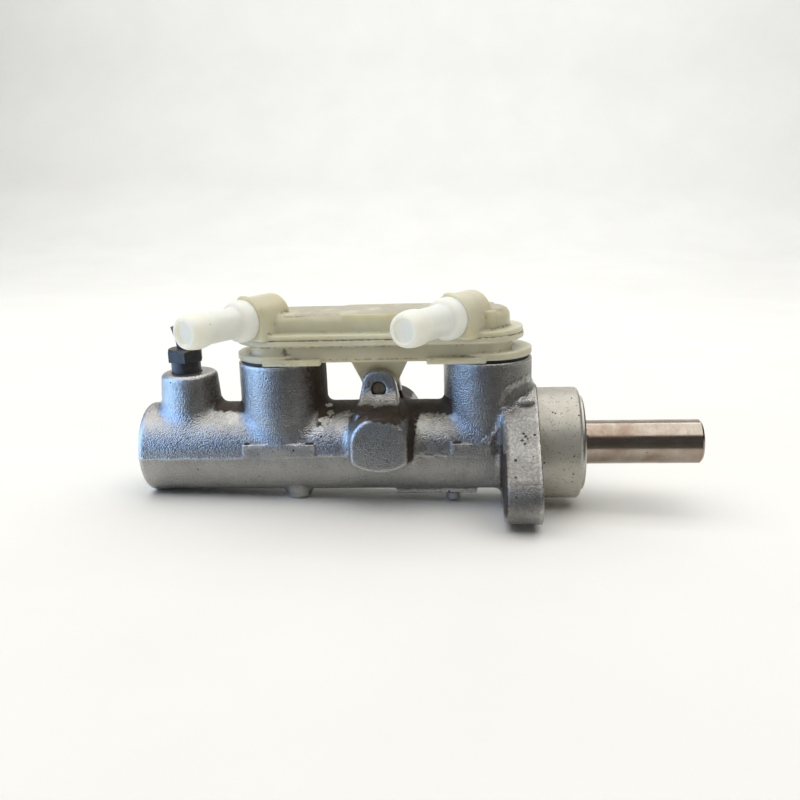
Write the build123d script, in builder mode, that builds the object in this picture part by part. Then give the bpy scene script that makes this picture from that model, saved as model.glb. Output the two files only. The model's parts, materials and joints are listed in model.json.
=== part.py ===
"""Tandem brake master cylinder with a nylon reservoir union, as separate solids.

Millimetres. Origin at the centre of the flange mounting face, on the bore axis.
+X runs out of the flange along the piston rod, +Z up through the reservoir bosses.
"""

from math import cos, radians, sin
import os

from build123d import *

os.makedirs("parts", exist_ok=True)

# Barrel and flange
barrel_r = 18.0
barrel_end_x = -158.2
flange_thk = 14.0
flange_r = 23.5
ear_r = 10.5
bolt_pcd = 72.0
bolt_hole_r = 4.4
ear_angle = 16.0
spigot_r = 22.2
spigot_len = 16.4

# Bosses on the barrel
outlet_x = -139.6
outlet_hole_x = -140.7
outlet_top_z = 31.3
outlet_top_r = 11.1
front_boss_x = -100.9
rear_boss_x = -19.1
boss_top_z = 36.0
boss_top_r = 17.3
boss_root_r = 18.15
pad_half = 14.3
pad_top_z = 5.3
blank_x = -60.6
blank_face_y = 26.5
side_port_x = -58.8
side_port_z = 7.0
side_port_y = 28.0
side_port_r = 11.3
lug_x = -61.6
pin_z = 25.0
pin_r = 2.75
ledge_z = -19.3
ledge_pin_x = -33.5
ledge_pin_y = -3.0
ledge_pin_bottom_z = -23.0
core_boss_x = -96.3
core_boss_y = -5.0
core_boss_z = -20.4

# Bore
bore_r = 11.905
bore_end_x = -150.0
guide_bore_r = 16.0
guide_bore_x = -2.0
guide_recess_r = 19.1
guide_recess_x = 12.4
pocket_r = 11.0
pocket_floor_z = 25.0
feed_offset = 4.1
relief_offset = -7.9

# Pistons
land_r = 11.86
cup_r = 11.85
rod_r = 8.7
rod_end_x = 64.5
socket_r = 5.2
socket_depth = 28.0

# Reservoir union
union_left_x = -111.9
union_right_x = -9.8
union_half_w = 15.5
disc_r = 17.3
rim_r = 16.3
disc_bottom_z = 37.2
disc_top_z = 40.0
weld_z = 46.0
weld_left_x = -118.3
weld_right_x = -4.9
cover_left_x = -110.0
cover_right_x = -10.2
cover_half_w = 12.8
cover_top_z = 55.4
nipple_z = 54.0
nipple_angle = 30.5
nipple_len = 30.5
front_nipple_xy = (-111.4, -15.1)
rear_nipple_xy = (-33.2, -18.3)
wall = 2.0

# Pipe fitting
nut_af = 13.0
thread_r = 5.9
pipe_r = 2.4


def turned(points):
    """Closed (x, radius) outline on the bore axis, ready to revolve about X."""
    with BuildSketch(Plane.XZ) as sk:
        with BuildLine():
            Polyline(*points, close=True)
        make_face()
    return sk.sketch


def upright(points, x):
    """Closed (radius, z) outline about the vertical axis at x."""
    with BuildSketch(Plane.XZ.move(Location((x, 0, 0)))) as sk:
        with BuildLine():
            Polyline(*points, close=True)
        make_face()
    return sk.sketch


def vertical(x):
    return Axis((x, 0, 0), (0, 0, 1))


def slot_shape(x0, x1, half_w, z):
    """Stadium between two end tips at height z."""
    with BuildSketch(Plane.XY.offset(z)) as sk:
        with Locations(((x0 + x1) / 2, 0)):
            SlotOverall(x1 - x0, 2 * half_w)
    return sk.sketch


def rounded_box(x0, x1, half_w, radius, z):
    with BuildSketch(Plane.XY.offset(z)) as sk:
        with Locations(((x0 + x1) / 2, 0)):
            RectangleRounded(x1 - x0, 2 * half_w, radius)
    return sk.sketch


def nipple_frame(xy):
    """Sketch plane through a nipple's axis: local x runs to the tip, local y is up."""
    s = sin(radians(nipple_angle))
    c = cos(radians(nipple_angle))
    return Plane(origin=(xy[0], xy[1], nipple_z), x_dir=(-s, -c, 0), z_dir=(-c, s, 0))


def nipple_axis(xy):
    frame = nipple_frame(xy)
    return Axis(frame.origin, frame.x_dir)


def blank_outline(half_w, z_top, z_low, z_bottom, y):
    """Closed arch with straight flanks and a shallow curved underside."""
    z_mid = z_top - half_w
    with BuildSketch(Plane.XZ.offset(y)) as sk:
        with BuildLine():
            ThreePointArc(
                (blank_x - half_w, z_mid), (blank_x, z_top), (blank_x + half_w, z_mid)
            )
            Line((blank_x + half_w, z_mid), (blank_x + half_w, z_low))
            ThreePointArc(
                (blank_x + half_w, z_low), (blank_x, z_bottom), (blank_x - half_w, z_low)
            )
            Line((blank_x - half_w, z_low), (blank_x - half_w, z_mid))
        make_face()
    return sk.sketch


# ---------------------------------------------------------------- cylinder body
with BuildPart() as cylinder_body:
    # Two-eared mounting flange
    with BuildSketch(Plane.YZ.offset(-flange_thk)):
        Circle(flange_r)
        with PolarLocations(bolt_pcd / 2, 2, start_angle=ear_angle):
            Circle(ear_r)
        make_hull()
    extrude(amount=flange_thk)
    fillet(cylinder_body.faces().sort_by(Axis.X)[0].edges(), radius=1.5)
    fillet(cylinder_body.faces().sort_by(Axis.X)[-1].edges(), radius=0.6)

    # Barrel with its closed end
    with BuildSketch(Plane.YZ.offset(barrel_end_x)):
        Circle(barrel_r)
    extrude(amount=-barrel_end_x - flange_thk / 2)
    fillet(cylinder_body.faces().sort_by(Axis.X)[0].edges(), radius=2.5)

    # Spigot that enters the booster
    with BuildSketch(Plane.YZ):
        Circle(spigot_r)
    extrude(amount=spigot_len)
    chamfer(cylinder_body.faces().sort_by(Axis.X)[-1].edges(), length=1.0)

    # Reservoir bosses and the square pads at their roots
    for x in (front_boss_x, rear_boss_x):
        with Locations((x, 0, 3)):
            Cone(
                boss_root_r,
                boss_top_r,
                boss_top_z - 3,
                align=(Align.CENTER, Align.CENTER, Align.MIN),
            )
        with Locations((x, 0, pad_top_z)):
            Box(
                2 * pad_half,
                36.4,
                7.3,
                align=(Align.CENTER, Align.CENTER, Align.MAX),
            )

    # Front outlet boss
    with Locations((outlet_x, 0, 10)):
        Cone(
            12.9,
            outlet_top_r,
            outlet_top_z - 10,
            align=(Align.CENTER, Align.CENTER, Align.MIN),
        )
    outlet_rim = cylinder_body.faces().filter_by(Plane.XY).sort_by(Axis.X)
    fillet(
        outlet_rim.filter_by_position(Axis.Z, outlet_top_z - 0.1, outlet_top_z + 0.1).edges(),
        radius=1.3,
    )

    # Closed blank boss on the near side
    loft([
        blank_outline(13.2, 19.4, -0.2, -4.6, 12),
        blank_outline(11.1, 17.8, -0.4, -3.8, blank_face_y),
    ])

    # Rear outlet boss on the far side
    with BuildSketch(Plane.XZ.offset(-5)):
        with Locations((side_port_x, side_port_z)):
            Circle(side_port_r)
    extrude(amount=5 - side_port_y)

    # Clevis ears for the reservoir tab
    for y in (9, -4):
        with BuildSketch(Plane.XZ.offset(y)) as ear:
            with BuildLine():
                Polyline(
                    (lug_x - 9.6, 12),
                    (lug_x - 8.0, 20),
                    (lug_x - 5.6, 32.2),
                    (lug_x + 5.6, 32.2),
                    (lug_x + 8.0, 20),
                    (lug_x + 9.6, 12),
                    close=True,
                )
            make_face()
            fillet(ear.vertices().group_by(Axis.Z)[-1], radius=3.6)
        extrude(amount=-5)

    # Underside: machined ledge and the small cored boss
    with Locations((-40.0, 0, ledge_z)):
        Box(32.5, 12, 5, align=(Align.CENTER, Align.CENTER, Align.MIN))
    with Locations((core_boss_x, core_boss_y, core_boss_z)):
        Cylinder(5.8, 7, align=(Align.CENTER, Align.CENTER, Align.MIN))
    core_face = cylinder_body.faces().filter_by(Plane.XY).sort_by(Axis.Z)[0]
    fillet(core_face.edges(), radius=1.6)

    # Stepped bore: pistons, guide and guide flange
    revolve(
        turned([
            (bore_end_x, 0),
            (bore_end_x, bore_r),
            (guide_bore_x, bore_r),
            (guide_bore_x, guide_bore_r),
            (8.9, guide_bore_r),
            (8.9, 16.9),
            (10.3, 16.9),
            (10.3, guide_bore_r),
            (guide_recess_x, guide_bore_r),
            (guide_recess_x, guide_recess_r),
            (spigot_len + 1, guide_recess_r),
            (spigot_len + 1, 0),
        ]),
        axis=Axis.X,
        mode=Mode.SUBTRACT,
    )

    # Grommet pockets with feed and relief ports
    for x in (front_boss_x, rear_boss_x):
        with Locations((x, 0, pocket_floor_z)):
            Cylinder(
                pocket_r,
                20,
                align=(Align.CENTER, Align.CENTER, Align.MIN),
                mode=Mode.SUBTRACT,
            )
        with Locations((x + feed_offset, 0, 8)):
            Cylinder(
                2.5,
                20,
                align=(Align.CENTER, Align.CENTER, Align.MIN),
                mode=Mode.SUBTRACT,
            )
        with Locations((x + relief_offset, 0, 8)):
            Cylinder(
                0.6,
                20,
                align=(Align.CENTER, Align.CENTER, Align.MIN),
                mode=Mode.SUBTRACT,
            )

    # Front outlet: thread, seat pocket and drilling
    revolve(
        upright(
            [(0, 8), (2, 8), (2, 16.5), (4.65, 16.5), (4.65, 19.5), (6, 19.5),
             (6, 30.2), (7.1, 31.3), (7.1, 33), (0, 33)],
            outlet_hole_x,
        ),
        axis=vertical(outlet_hole_x),
        mode=Mode.SUBTRACT,
    )

    # Rear outlet: thread, seat pocket and drilling
    with BuildSketch(Plane.XY.offset(side_port_z)):
        with BuildLine():
            Polyline(
                (side_port_x, 8),
                (side_port_x + 3, 8),
                (side_port_x + 3, 13.5),
                (side_port_x + 4.15, 13.5),
                (side_port_x + 4.15, 20.5),
                (side_port_x + 5, 20.5),
                (side_port_x + 5, 27),
                (side_port_x + 6, 28),
                (side_port_x + 6, 29),
                (side_port_x, 29),
                close=True,
            )
        make_face()
    revolve(
        axis=Axis((side_port_x, 0, side_port_z), (0, 1, 0)),
        mode=Mode.SUBTRACT,
    )

    # Flange bolt holes
    with BuildSketch(Plane.YZ.offset(1)):
        with PolarLocations(bolt_pcd / 2, 2, start_angle=ear_angle):
            Circle(bolt_hole_r)
    extrude(amount=-flange_thk - 2, mode=Mode.SUBTRACT)

    # Cross hole for the reservoir pin
    with BuildSketch(Plane.XZ.offset(10)):
        with Locations((lug_x, pin_z)):
            Circle(pin_r + 0.05)
    extrude(amount=-20, mode=Mode.SUBTRACT)
    with BuildSketch(Plane.XZ.offset(10)):
        with Locations((lug_x, pin_z)):
            Circle(3.4)
    extrude(amount=-2, mode=Mode.SUBTRACT)

    # Blind hole for the ledge pin
    with Locations((ledge_pin_x, ledge_pin_y, -14.8)):
        Cylinder(
            2.3,
            8,
            align=(Align.CENTER, Align.CENTER, Align.MAX),
            mode=Mode.SUBTRACT,
        )
cylinder_body.part.label = "cylinder_body"
export_step(cylinder_body.part, "parts/cylinder_body.step")

# --------------------------------------------------------------- primary piston
with BuildPart() as primary_piston:
    revolve(
        turned([
            (-26.5, 0),
            (-26.5, 7.0),
            (-21.5, 7.0),
            (-21.5, land_r),
            (-17.5, land_r),
            (-17.5, rod_r),
            (-6.05, rod_r),
            (-6.05, land_r),
            (-2.05, land_r),
            (-2.05, rod_r),
            (rod_end_x - 0.8, rod_r),
            (rod_end_x, rod_r - 0.8),
            (rod_end_x, socket_r + 0.8),
            (rod_end_x - 0.8, socket_r),
            (rod_end_x - socket_depth, socket_r),
            (rod_end_x - socket_depth - 3, 0),
        ]),
        axis=Axis.X,
    )
    with BuildSketch(Plane.YZ.offset(-22)):
        with PolarLocations(10.35, 6):
            Circle(0.9)
    extrude(amount=22, mode=Mode.SUBTRACT)
    with BuildSketch(Plane.YZ.offset(-26.5)):
        Circle(2.05)
    extrude(amount=11, mode=Mode.SUBTRACT)
primary_piston.part.label = "primary_piston"
export_step(primary_piston.part, "parts/primary_piston.step")


def cup_outline(back_x, lip_x, r_in):
    """Lip seal with its open side toward lip_x."""
    d = 1 if lip_x > back_x else -1
    return turned([
        (back_x, r_in),
        (back_x, cup_r - 0.5),
        (back_x + d * 0.5, cup_r),
        (lip_x, cup_r),
        (lip_x - d * 0.3, cup_r - 0.8),
        (back_x + d * 1.8, cup_r - 1.5),
        (back_x + d * 1.8, r_in + 1.3),
        (lip_x - d * 0.3, r_in + 0.8),
        (lip_x - d * 0.3, r_in),
    ])


with BuildPart() as primary_cup:
    revolve(cup_outline(-21.55, -25.5, 7.05), axis=Axis.X)
primary_cup.part.label = "primary_cup"
export_step(primary_cup.part, "parts/primary_cup.step")

with BuildPart() as primary_spring_seat:
    revolve(
        turned([
            (-28.4, 7.0),
            (-28.4, 5.8),
            (-27.4, 5.8),
            (-27.4, 2.2),
            (-26.55, 2.2),
            (-26.55, 10.2),
            (-27.4, 10.2),
            (-27.4, 7.0),
        ]),
        axis=Axis.X,
    )
primary_spring_seat.part.label = "primary_spring_seat"
export_step(primary_spring_seat.part, "parts/primary_spring_seat.step")

with BuildPart() as retainer_screw:
    revolve(
        turned([
            (-47.5, 0),
            (-47.5, 3.6),
            (-47.0, 4.2),
            (-44.1, 4.2),
            (-44.1, 2.0),
            (-16.0, 2.0),
            (-16.0, 0),
        ]),
        axis=Axis.X,
    )
    with BuildSketch(Plane.YZ.offset(-47.5)):
        RegularPolygon(2.1, 6)
    extrude(amount=2, mode=Mode.SUBTRACT)
retainer_screw.part.label = "retainer_screw"
export_step(retainer_screw.part, "parts/retainer_screw.step")

with BuildPart() as spring_retainer:
    revolve(
        turned([
            (-69.9, 5.2),
            (-69.9, 10.0),
            (-69.1, 10.0),
            (-69.1, 6.0),
            (-43.0, 6.0),
            (-43.0, 2.5),
            (-43.8, 2.5),
            (-43.8, 5.2),
        ]),
        axis=Axis.X,
    )
spring_retainer.part.label = "spring_retainer"
export_step(spring_retainer.part, "parts/spring_retainer.step")

# ------------------------------------------------------------------ coil springs
spring_wire_r = 1.1
spring_mean_r = 8.4

with BuildPart() as primary_spring:
    with BuildLine() as coil:
        Helix(
            pitch=39.0 / 6,
            height=39.0,
            radius=spring_mean_r,
            center=(-67.9, 0, 0),
            direction=(1, 0, 0),
        )
    with BuildSketch(Plane(origin=coil.line @ 0, z_dir=coil.line % 0)):
        Circle(spring_wire_r)
    sweep(path=coil.line, is_frenet=True)
primary_spring.part.label = "primary_spring"
export_step(primary_spring.part, "parts/primary_spring.step")

with BuildPart() as secondary_spring:
    with BuildLine() as coil:
        Helix(
            pitch=37.4 / 6,
            height=37.4,
            radius=spring_mean_r,
            center=(-148.7, 0, 0),
            direction=(1, 0, 0),
        )
    with BuildSketch(Plane(origin=coil.line @ 0, z_dir=coil.line % 0)):
        Circle(spring_wire_r)
    sweep(path=coil.line, is_frenet=True)
secondary_spring.part.label = "secondary_spring"
export_step(secondary_spring.part, "parts/secondary_spring.step")

# -------------------------------------------------------------- secondary piston
with BuildPart() as secondary_piston:
    revolve(
        turned([
            (-108.3, 0),
            (-108.3, 7.0),
            (-103.3, 7.0),
            (-103.3, land_r),
            (-99.3, land_r),
            (-99.3, 7.5),
            (-84.0, 7.5),
            (-84.0, land_r),
            (-81.0, land_r),
            (-81.0, 7.0),
            (-77.0, 7.0),
            (-73.0, 7.0),
            (-73.0, land_r),
            (-70.0, land_r),
            (-70.0, 4.6),
            (-75.0, 4.6),
            (-76.5, 0),
        ]),
        axis=Axis.X,
    )
    with BuildSketch(Plane.YZ.offset(-104)):
        with PolarLocations(10.35, 6):
            Circle(0.9)
    extrude(amount=6, mode=Mode.SUBTRACT)
secondary_piston.part.label = "secondary_piston"
export_step(secondary_piston.part, "parts/secondary_piston.step")

with BuildPart() as secondary_front_cup:
    revolve(cup_outline(-103.35, -107.3, 7.05), axis=Axis.X)
secondary_front_cup.part.label = "secondary_front_cup"
export_step(secondary_front_cup.part, "parts/secondary_front_cup.step")

with BuildPart() as secondary_feed_cup:
    revolve(cup_outline(-77.05, -80.9, 7.05), axis=Axis.X)
secondary_feed_cup.part.label = "secondary_feed_cup"
export_step(secondary_feed_cup.part, "parts/secondary_feed_cup.step")

with BuildPart() as secondary_rear_cup:
    revolve(cup_outline(-76.95, -73.1, 7.05), axis=Axis.X)
secondary_rear_cup.part.label = "secondary_rear_cup"
export_step(secondary_rear_cup.part, "parts/secondary_rear_cup.step")

with BuildPart() as secondary_spring_seat:
    revolve(
        turned([
            (-109.2, 0),
            (-109.2, 5.8),
            (-111.0, 5.8),
            (-111.0, 6.8),
            (-110.1, 6.8),
            (-110.1, 10.2),
            (-108.35, 10.2),
            (-108.35, 0),
        ]),
        axis=Axis.X,
    )
secondary_spring_seat.part.label = "secondary_spring_seat"
export_step(secondary_spring_seat.part, "parts/secondary_spring_seat.step")

# --------------------------------------------------- guide group inside the spigot
with BuildPart() as stop_washer:
    with BuildSketch(Plane.YZ.offset(-1.98)):
        Circle(15.9)
        Circle(9.2, mode=Mode.SUBTRACT)
    extrude(amount=1.48)
stop_washer.part.label = "stop_washer"
export_step(stop_washer.part, "parts/stop_washer.step")

with BuildPart() as piston_guide:
    revolve(
        turned([
            (-0.45, 9.3),
            (-0.45, 15.9),
            (2.8, 15.9),
            (2.8, 13.5),
            (5.4, 13.5),
            (5.4, 15.9),
            (8.9, 15.9),
            (8.9, 15.1),
            (10.3, 15.1),
            (10.3, 15.9),
            (12.45, 15.9),
            (12.45, 19.0),
            (17.4, 19.0),
            (18.0, 18.4),
            (18.0, 11.6),
            (14.0, 11.6),
            (14.0, 9.3),
            (13.2, 9.3),
            (13.2, 10.6),
            (6.2, 10.6),
            (6.2, 9.3),
            (5.2, 9.3),
            (5.2, 12.0),
            (1.0, 12.0),
            (1.0, 9.3),
        ]),
        axis=Axis.X,
    )
piston_guide.part.label = "piston_guide"
export_step(piston_guide.part, "parts/piston_guide.step")

with BuildPart() as guide_o_ring:
    with BuildSketch(Plane.XZ):
        with Locations((4.1, 14.72)):
            Circle(1.2)
    revolve(axis=Axis.X)
guide_o_ring.part.label = "guide_o_ring"
export_step(guide_o_ring.part, "parts/guide_o_ring.step")

with BuildPart() as guide_snap_ring:
    with BuildSketch(Plane.YZ.offset(9.0)):
        Circle(16.8)
        Circle(15.2, mode=Mode.SUBTRACT)
        with Locations((0, -16)):
            Rectangle(5, 4, mode=Mode.SUBTRACT)
    extrude(amount=1.2)
guide_snap_ring.part.label = "guide_snap_ring"
export_step(guide_snap_ring.part, "parts/guide_snap_ring.step")

with BuildPart() as rod_seal:
    revolve(
        turned([
            (5.1, 8.76),
            (5.1, 11.95),
            (1.1, 11.95),
            (1.5, 11.2),
            (3.4, 10.8),
            (3.4, 9.9),
            (1.5, 9.5),
            (1.1, 8.76),
        ]),
        axis=Axis.X,
    )
rod_seal.part.label = "rod_seal"
export_step(rod_seal.part, "parts/rod_seal.step")

with BuildPart() as guide_bush:
    with BuildSketch(Plane.YZ.offset(6.25)):
        Circle(10.55)
        Circle(8.75, mode=Mode.SUBTRACT)
    extrude(amount=6.9)
guide_bush.part.label = "guide_bush"
export_step(guide_bush.part, "parts/guide_bush.step")

with BuildPart() as rod_wiper:
    revolve(
        turned([
            (14.05, 9.4),
            (14.05, 11.55),
            (17.2, 11.55),
            (17.2, 10.4),
            (18.4, 8.78),
            (17.2, 8.78),
            (15.4, 9.4),
        ]),
        axis=Axis.X,
    )
rod_wiper.part.label = "rod_wiper"
export_step(rod_wiper.part, "parts/rod_wiper.step")

# ------------------------------------------------------------ reservoir grommets
grommet_profile = [
    (7.1, 25.1),
    (10.9, 25.1),
    (10.9, 28.0),
    (10.4, 28.6),
    (10.4, 30.4),
    (10.9, 31.0),
    (10.9, 36.05),
    (rim_r, 36.05),
    (rim_r, 37.1),
    (7.1, 37.1),
]

with BuildPart() as front_grommet:
    revolve(upright(grommet_profile, front_boss_x), axis=vertical(front_boss_x))
front_grommet.part.label = "front_grommet"
export_step(front_grommet.part, "parts/front_grommet.step")

with BuildPart() as rear_grommet:
    revolve(upright(grommet_profile, rear_boss_x), axis=vertical(rear_boss_x))
rear_grommet.part.label = "rear_grommet"
export_step(rear_grommet.part, "parts/rear_grommet.step")

# ------------------------------------------------------------------- union base
with BuildPart() as union_base:
    # Side walls between the discs
    extrude(
        rounded_box(union_left_x, union_right_x, union_half_w, 8.5, disc_bottom_z),
        amount=weld_z - disc_bottom_z,
    )
    # Weld flange
    extrude(
        slot_shape(weld_left_x, weld_right_x, 17.4, weld_z - 2.2),
        amount=2.2,
    )
    # Discs that sit over the grommets
    for x in (front_boss_x, rear_boss_x):
        with Locations((x, 0, disc_bottom_z)):
            Cylinder(
                disc_r,
                disc_top_z - disc_bottom_z,
                align=(Align.CENTER, Align.CENTER, Align.MIN),
            )
    # Locating lips along both long sides
    for x in (-94.0, -31.0):
        for side in (1, -1):
            with Locations((x, side * 15.9, 36.25)):
                Box(22.4, 3.4, 2.35, align=(Align.CENTER, Align.CENTER, Align.MIN))
    # Room for the grommet rims under the lips, and the stubs into the grommets
    for x in (front_boss_x, rear_boss_x):
        with Locations((x, 0, disc_bottom_z)):
            Cylinder(
                rim_r + 0.1,
                2,
                align=(Align.CENTER, Align.CENTER, Align.MAX),
                mode=Mode.SUBTRACT,
            )
            Cylinder(7.0, 9.2, align=(Align.CENTER, Align.CENTER, Align.MAX))
    # Hollow gallery, open to the cover
    extrude(
        rounded_box(
            union_left_x + wall,
            union_right_x - wall,
            union_half_w - wall,
            6.5,
            39.4,
        ),
        amount=10,
        mode=Mode.SUBTRACT,
    )
    for x in (front_boss_x, rear_boss_x):
        with Locations((x, 0, 27)):
            Cylinder(
                4.6,
                16,
                align=(Align.CENTER, Align.CENTER, Align.MIN),
                mode=Mode.SUBTRACT,
            )
    # Tab that drops between the clevis ears
    with BuildSketch(Plane.XZ.offset(3.5)):
        with BuildLine():
            Polyline(
                (lug_x - 12.6, disc_bottom_z + 0.5),
                (lug_x + 12.6, disc_bottom_z + 0.5),
                (lug_x + 6.4, pin_z),
                (lug_x - 6.4, pin_z),
                close=True,
            )
        make_face()
        with Locations((lug_x, pin_z)):
            Circle(6.4)
            Circle(pin_r + 0.1, mode=Mode.SUBTRACT)
    extrude(amount=-7)
union_base.part.label = "union_base"
export_step(union_base.part, "parts/union_base.step")

# ------------------------------------------------------------------ union cover
with BuildPart() as union_cover:
    # Box with softened top edges
    extrude(
        slot_shape(cover_left_x, cover_right_x, cover_half_w, weld_z + 0.05),
        amount=cover_top_z - weld_z - 0.05,
    )
    fillet(union_cover.faces().sort_by(Axis.Z)[-1].edges(), radius=3.2)
    # Square-edged end block and panel
    extrude(
        rounded_box(-76.0, -16.0, cover_half_w, 2.5, 47),
        amount=cover_top_z - 47,
    )
    # Weld flange
    extrude(
        slot_shape(weld_left_x + 0.3, weld_right_x - 0.3, 17.0, weld_z + 0.05),
        amount=2.15,
    )
    # Housings for the two nipples
    for xy in (front_nipple_xy, rear_nipple_xy):
        frame = nipple_frame(xy)
        with BuildSketch(Plane(origin=frame.origin, x_dir=frame.z_dir, z_dir=-frame.x_dir)):
            Circle(8.6)
            with Locations((0, -4.3)):
                Rectangle(17.2, 8.6)
        extrude(amount=17)
    # Flat underside, level with the weld face
    with Locations((-60, 0, weld_z + 0.05)):
        Box(
            180,
            90,
            20,
            align=(Align.CENTER, Align.CENTER, Align.MAX),
            mode=Mode.SUBTRACT,
        )
    # Hollow gallery
    extrude(
        slot_shape(
            cover_left_x + wall,
            cover_right_x - wall,
            cover_half_w - wall,
            weld_z - 1,
        ),
        amount=cover_top_z - wall - weld_z + 1,
        mode=Mode.SUBTRACT,
    )
    # Bores that carry the nipples
    for xy in (front_nipple_xy, rear_nipple_xy):
        frame = nipple_frame(xy)
        with BuildSketch(Plane(origin=frame.origin, x_dir=frame.z_dir, z_dir=-frame.x_dir)):
            Circle(4.3)
        extrude(amount=13, mode=Mode.SUBTRACT)
        with BuildSketch(Plane(origin=frame.origin, x_dir=frame.z_dir, z_dir=frame.x_dir)):
            Circle(7.8)
        extrude(amount=8, mode=Mode.SUBTRACT)
union_cover.part.label = "union_cover"
export_step(union_cover.part, "parts/union_cover.step")

# ----------------------------------------------------------------- hose nipples
nipple_profile = [
    (0.05, 4.3),
    (0.05, 7.7),
    (1.6, 7.7),
    (3.4, 6.6),
    (6.0, 5.9),
    (nipple_len - 10.5, 5.9),
    (nipple_len - 8.4, 6.6),
    (nipple_len - 4.6, 6.6),
    (nipple_len - 0.6, 5.9),
    (nipple_len, 5.3),
    (nipple_len, 4.3),
]

with BuildPart() as front_hose_nipple:
    with BuildSketch(nipple_frame(front_nipple_xy)):
        with BuildLine():
            Polyline(*nipple_profile, close=True)
        make_face()
    revolve(axis=nipple_axis(front_nipple_xy))
front_hose_nipple.part.label = "front_hose_nipple"
export_step(front_hose_nipple.part, "parts/front_hose_nipple.step")

with BuildPart() as rear_hose_nipple:
    with BuildSketch(nipple_frame(rear_nipple_xy)):
        with BuildLine():
            Polyline(*nipple_profile, close=True)
        make_face()
    revolve(axis=nipple_axis(rear_nipple_xy))
rear_hose_nipple.part.label = "rear_hose_nipple"
export_step(rear_hose_nipple.part, "parts/rear_hose_nipple.step")

# ------------------------------------------------------------------ small fittings
with BuildPart() as reservoir_pin:
    with BuildSketch(Plane.XZ.offset(8.4)):
        with Locations((lug_x, pin_z)):
            Circle(pin_r)
    extrude(amount=-17.0)
    chamfer(reservoir_pin.edges().filter_by(GeomType.CIRCLE), length=0.4)
reservoir_pin.part.label = "reservoir_pin"
export_step(reservoir_pin.part, "parts/reservoir_pin.step")

with BuildPart() as ledge_pin:
    with Locations((ledge_pin_x, ledge_pin_y, -15.0)):
        Cylinder(2.25, 6, align=(Align.CENTER, Align.CENTER, Align.MAX))
    with Locations((ledge_pin_x, ledge_pin_y, ledge_pin_bottom_z)):
        Cylinder(
            2.9,
            ledge_z - 0.05 - ledge_pin_bottom_z,
            align=(Align.CENTER, Align.CENTER, Align.MIN),
        )
    fillet(ledge_pin.faces().sort_by(Axis.Z)[0].edges(), radius=1.6)
ledge_pin.part.label = "ledge_pin"
export_step(ledge_pin.part, "parts/ledge_pin.step")

with BuildPart() as flare_nut:
    with BuildSketch(Plane.XY.offset(36.0)):
        with Locations((outlet_hole_x, 0)):
            RegularPolygon(nut_af / 2, 6, major_radius=False, rotation=-15)
    extrude(amount=5.0)
    revolve(
        upright(
            [(6.1, 41.1), (7.6, 39.9), (9, 39.9), (9, 41.1)],
            outlet_hole_x,
        ),
        axis=vertical(outlet_hole_x),
        mode=Mode.SUBTRACT,
    )
    with Locations((outlet_hole_x, 0, 24.7)):
        Cylinder(thread_r, 11.3, align=(Align.CENTER, Align.CENTER, Align.MIN))
        Cylinder(
            pipe_r + 0.1,
            20,
            align=(Align.CENTER, Align.CENTER, Align.MIN),
            mode=Mode.SUBTRACT,
        )
flare_nut.part.label = "flare_nut"
export_step(flare_nut.part, "parts/flare_nut.step")

with BuildPart() as brake_pipe_stub:
    with BuildLine() as pipe_path:
        low = Line((outlet_hole_x, 0, 23.2), (outlet_hole_x, 0, 42.0))
        TangentArc((outlet_hole_x, 0, 42.0), (outlet_hole_x - 1.3, 0, 50.6), tangent=(0, 0, 1))
    with BuildSketch(Plane.XY.offset(23.2)):
        with Locations((outlet_hole_x, 0)):
            Circle(pipe_r)
            Circle(1.6, mode=Mode.SUBTRACT)
    sweep(path=pipe_path.line)
    with BuildSketch(Plane.XY.offset(23.2)):
        with Locations((outlet_hole_x, 0)):
            Circle(4.6)
            Circle(1.6, mode=Mode.SUBTRACT)
    extrude(amount=1.4)
brake_pipe_stub.part.label = "brake_pipe_stub"
export_step(brake_pipe_stub.part, "parts/brake_pipe_stub.step")

with BuildPart() as front_flare_seat:
    revolve(
        upright(
            [(1.5, 16.55), (4.6, 16.55), (4.6, 19.6), (2.1, 22.6), (1.5, 22.6)],
            outlet_hole_x,
        ),
        axis=vertical(outlet_hole_x),
    )
front_flare_seat.part.label = "front_flare_seat"
export_step(front_flare_seat.part, "parts/front_flare_seat.step")

with BuildPart() as rear_flare_seat:
    with BuildSketch(Plane.XY.offset(side_port_z)):
        with BuildLine():
            Polyline(
                (side_port_x + 1.4, 13.55),
                (side_port_x + 4.1, 13.55),
                (side_port_x + 4.1, 16.6),
                (side_port_x + 2.0, 19.1),
                (side_port_x + 1.4, 19.1),
                close=True,
            )
        make_face()
    revolve(axis=Axis((side_port_x, 0, side_port_z), (0, 1, 0)))
rear_flare_seat.part.label = "rear_flare_seat"
export_step(rear_flare_seat.part, "parts/rear_flare_seat.step")
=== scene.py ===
import json
import math

import bmesh
import bpy
import numpy as np
from mathutils import Matrix, Vector


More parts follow.
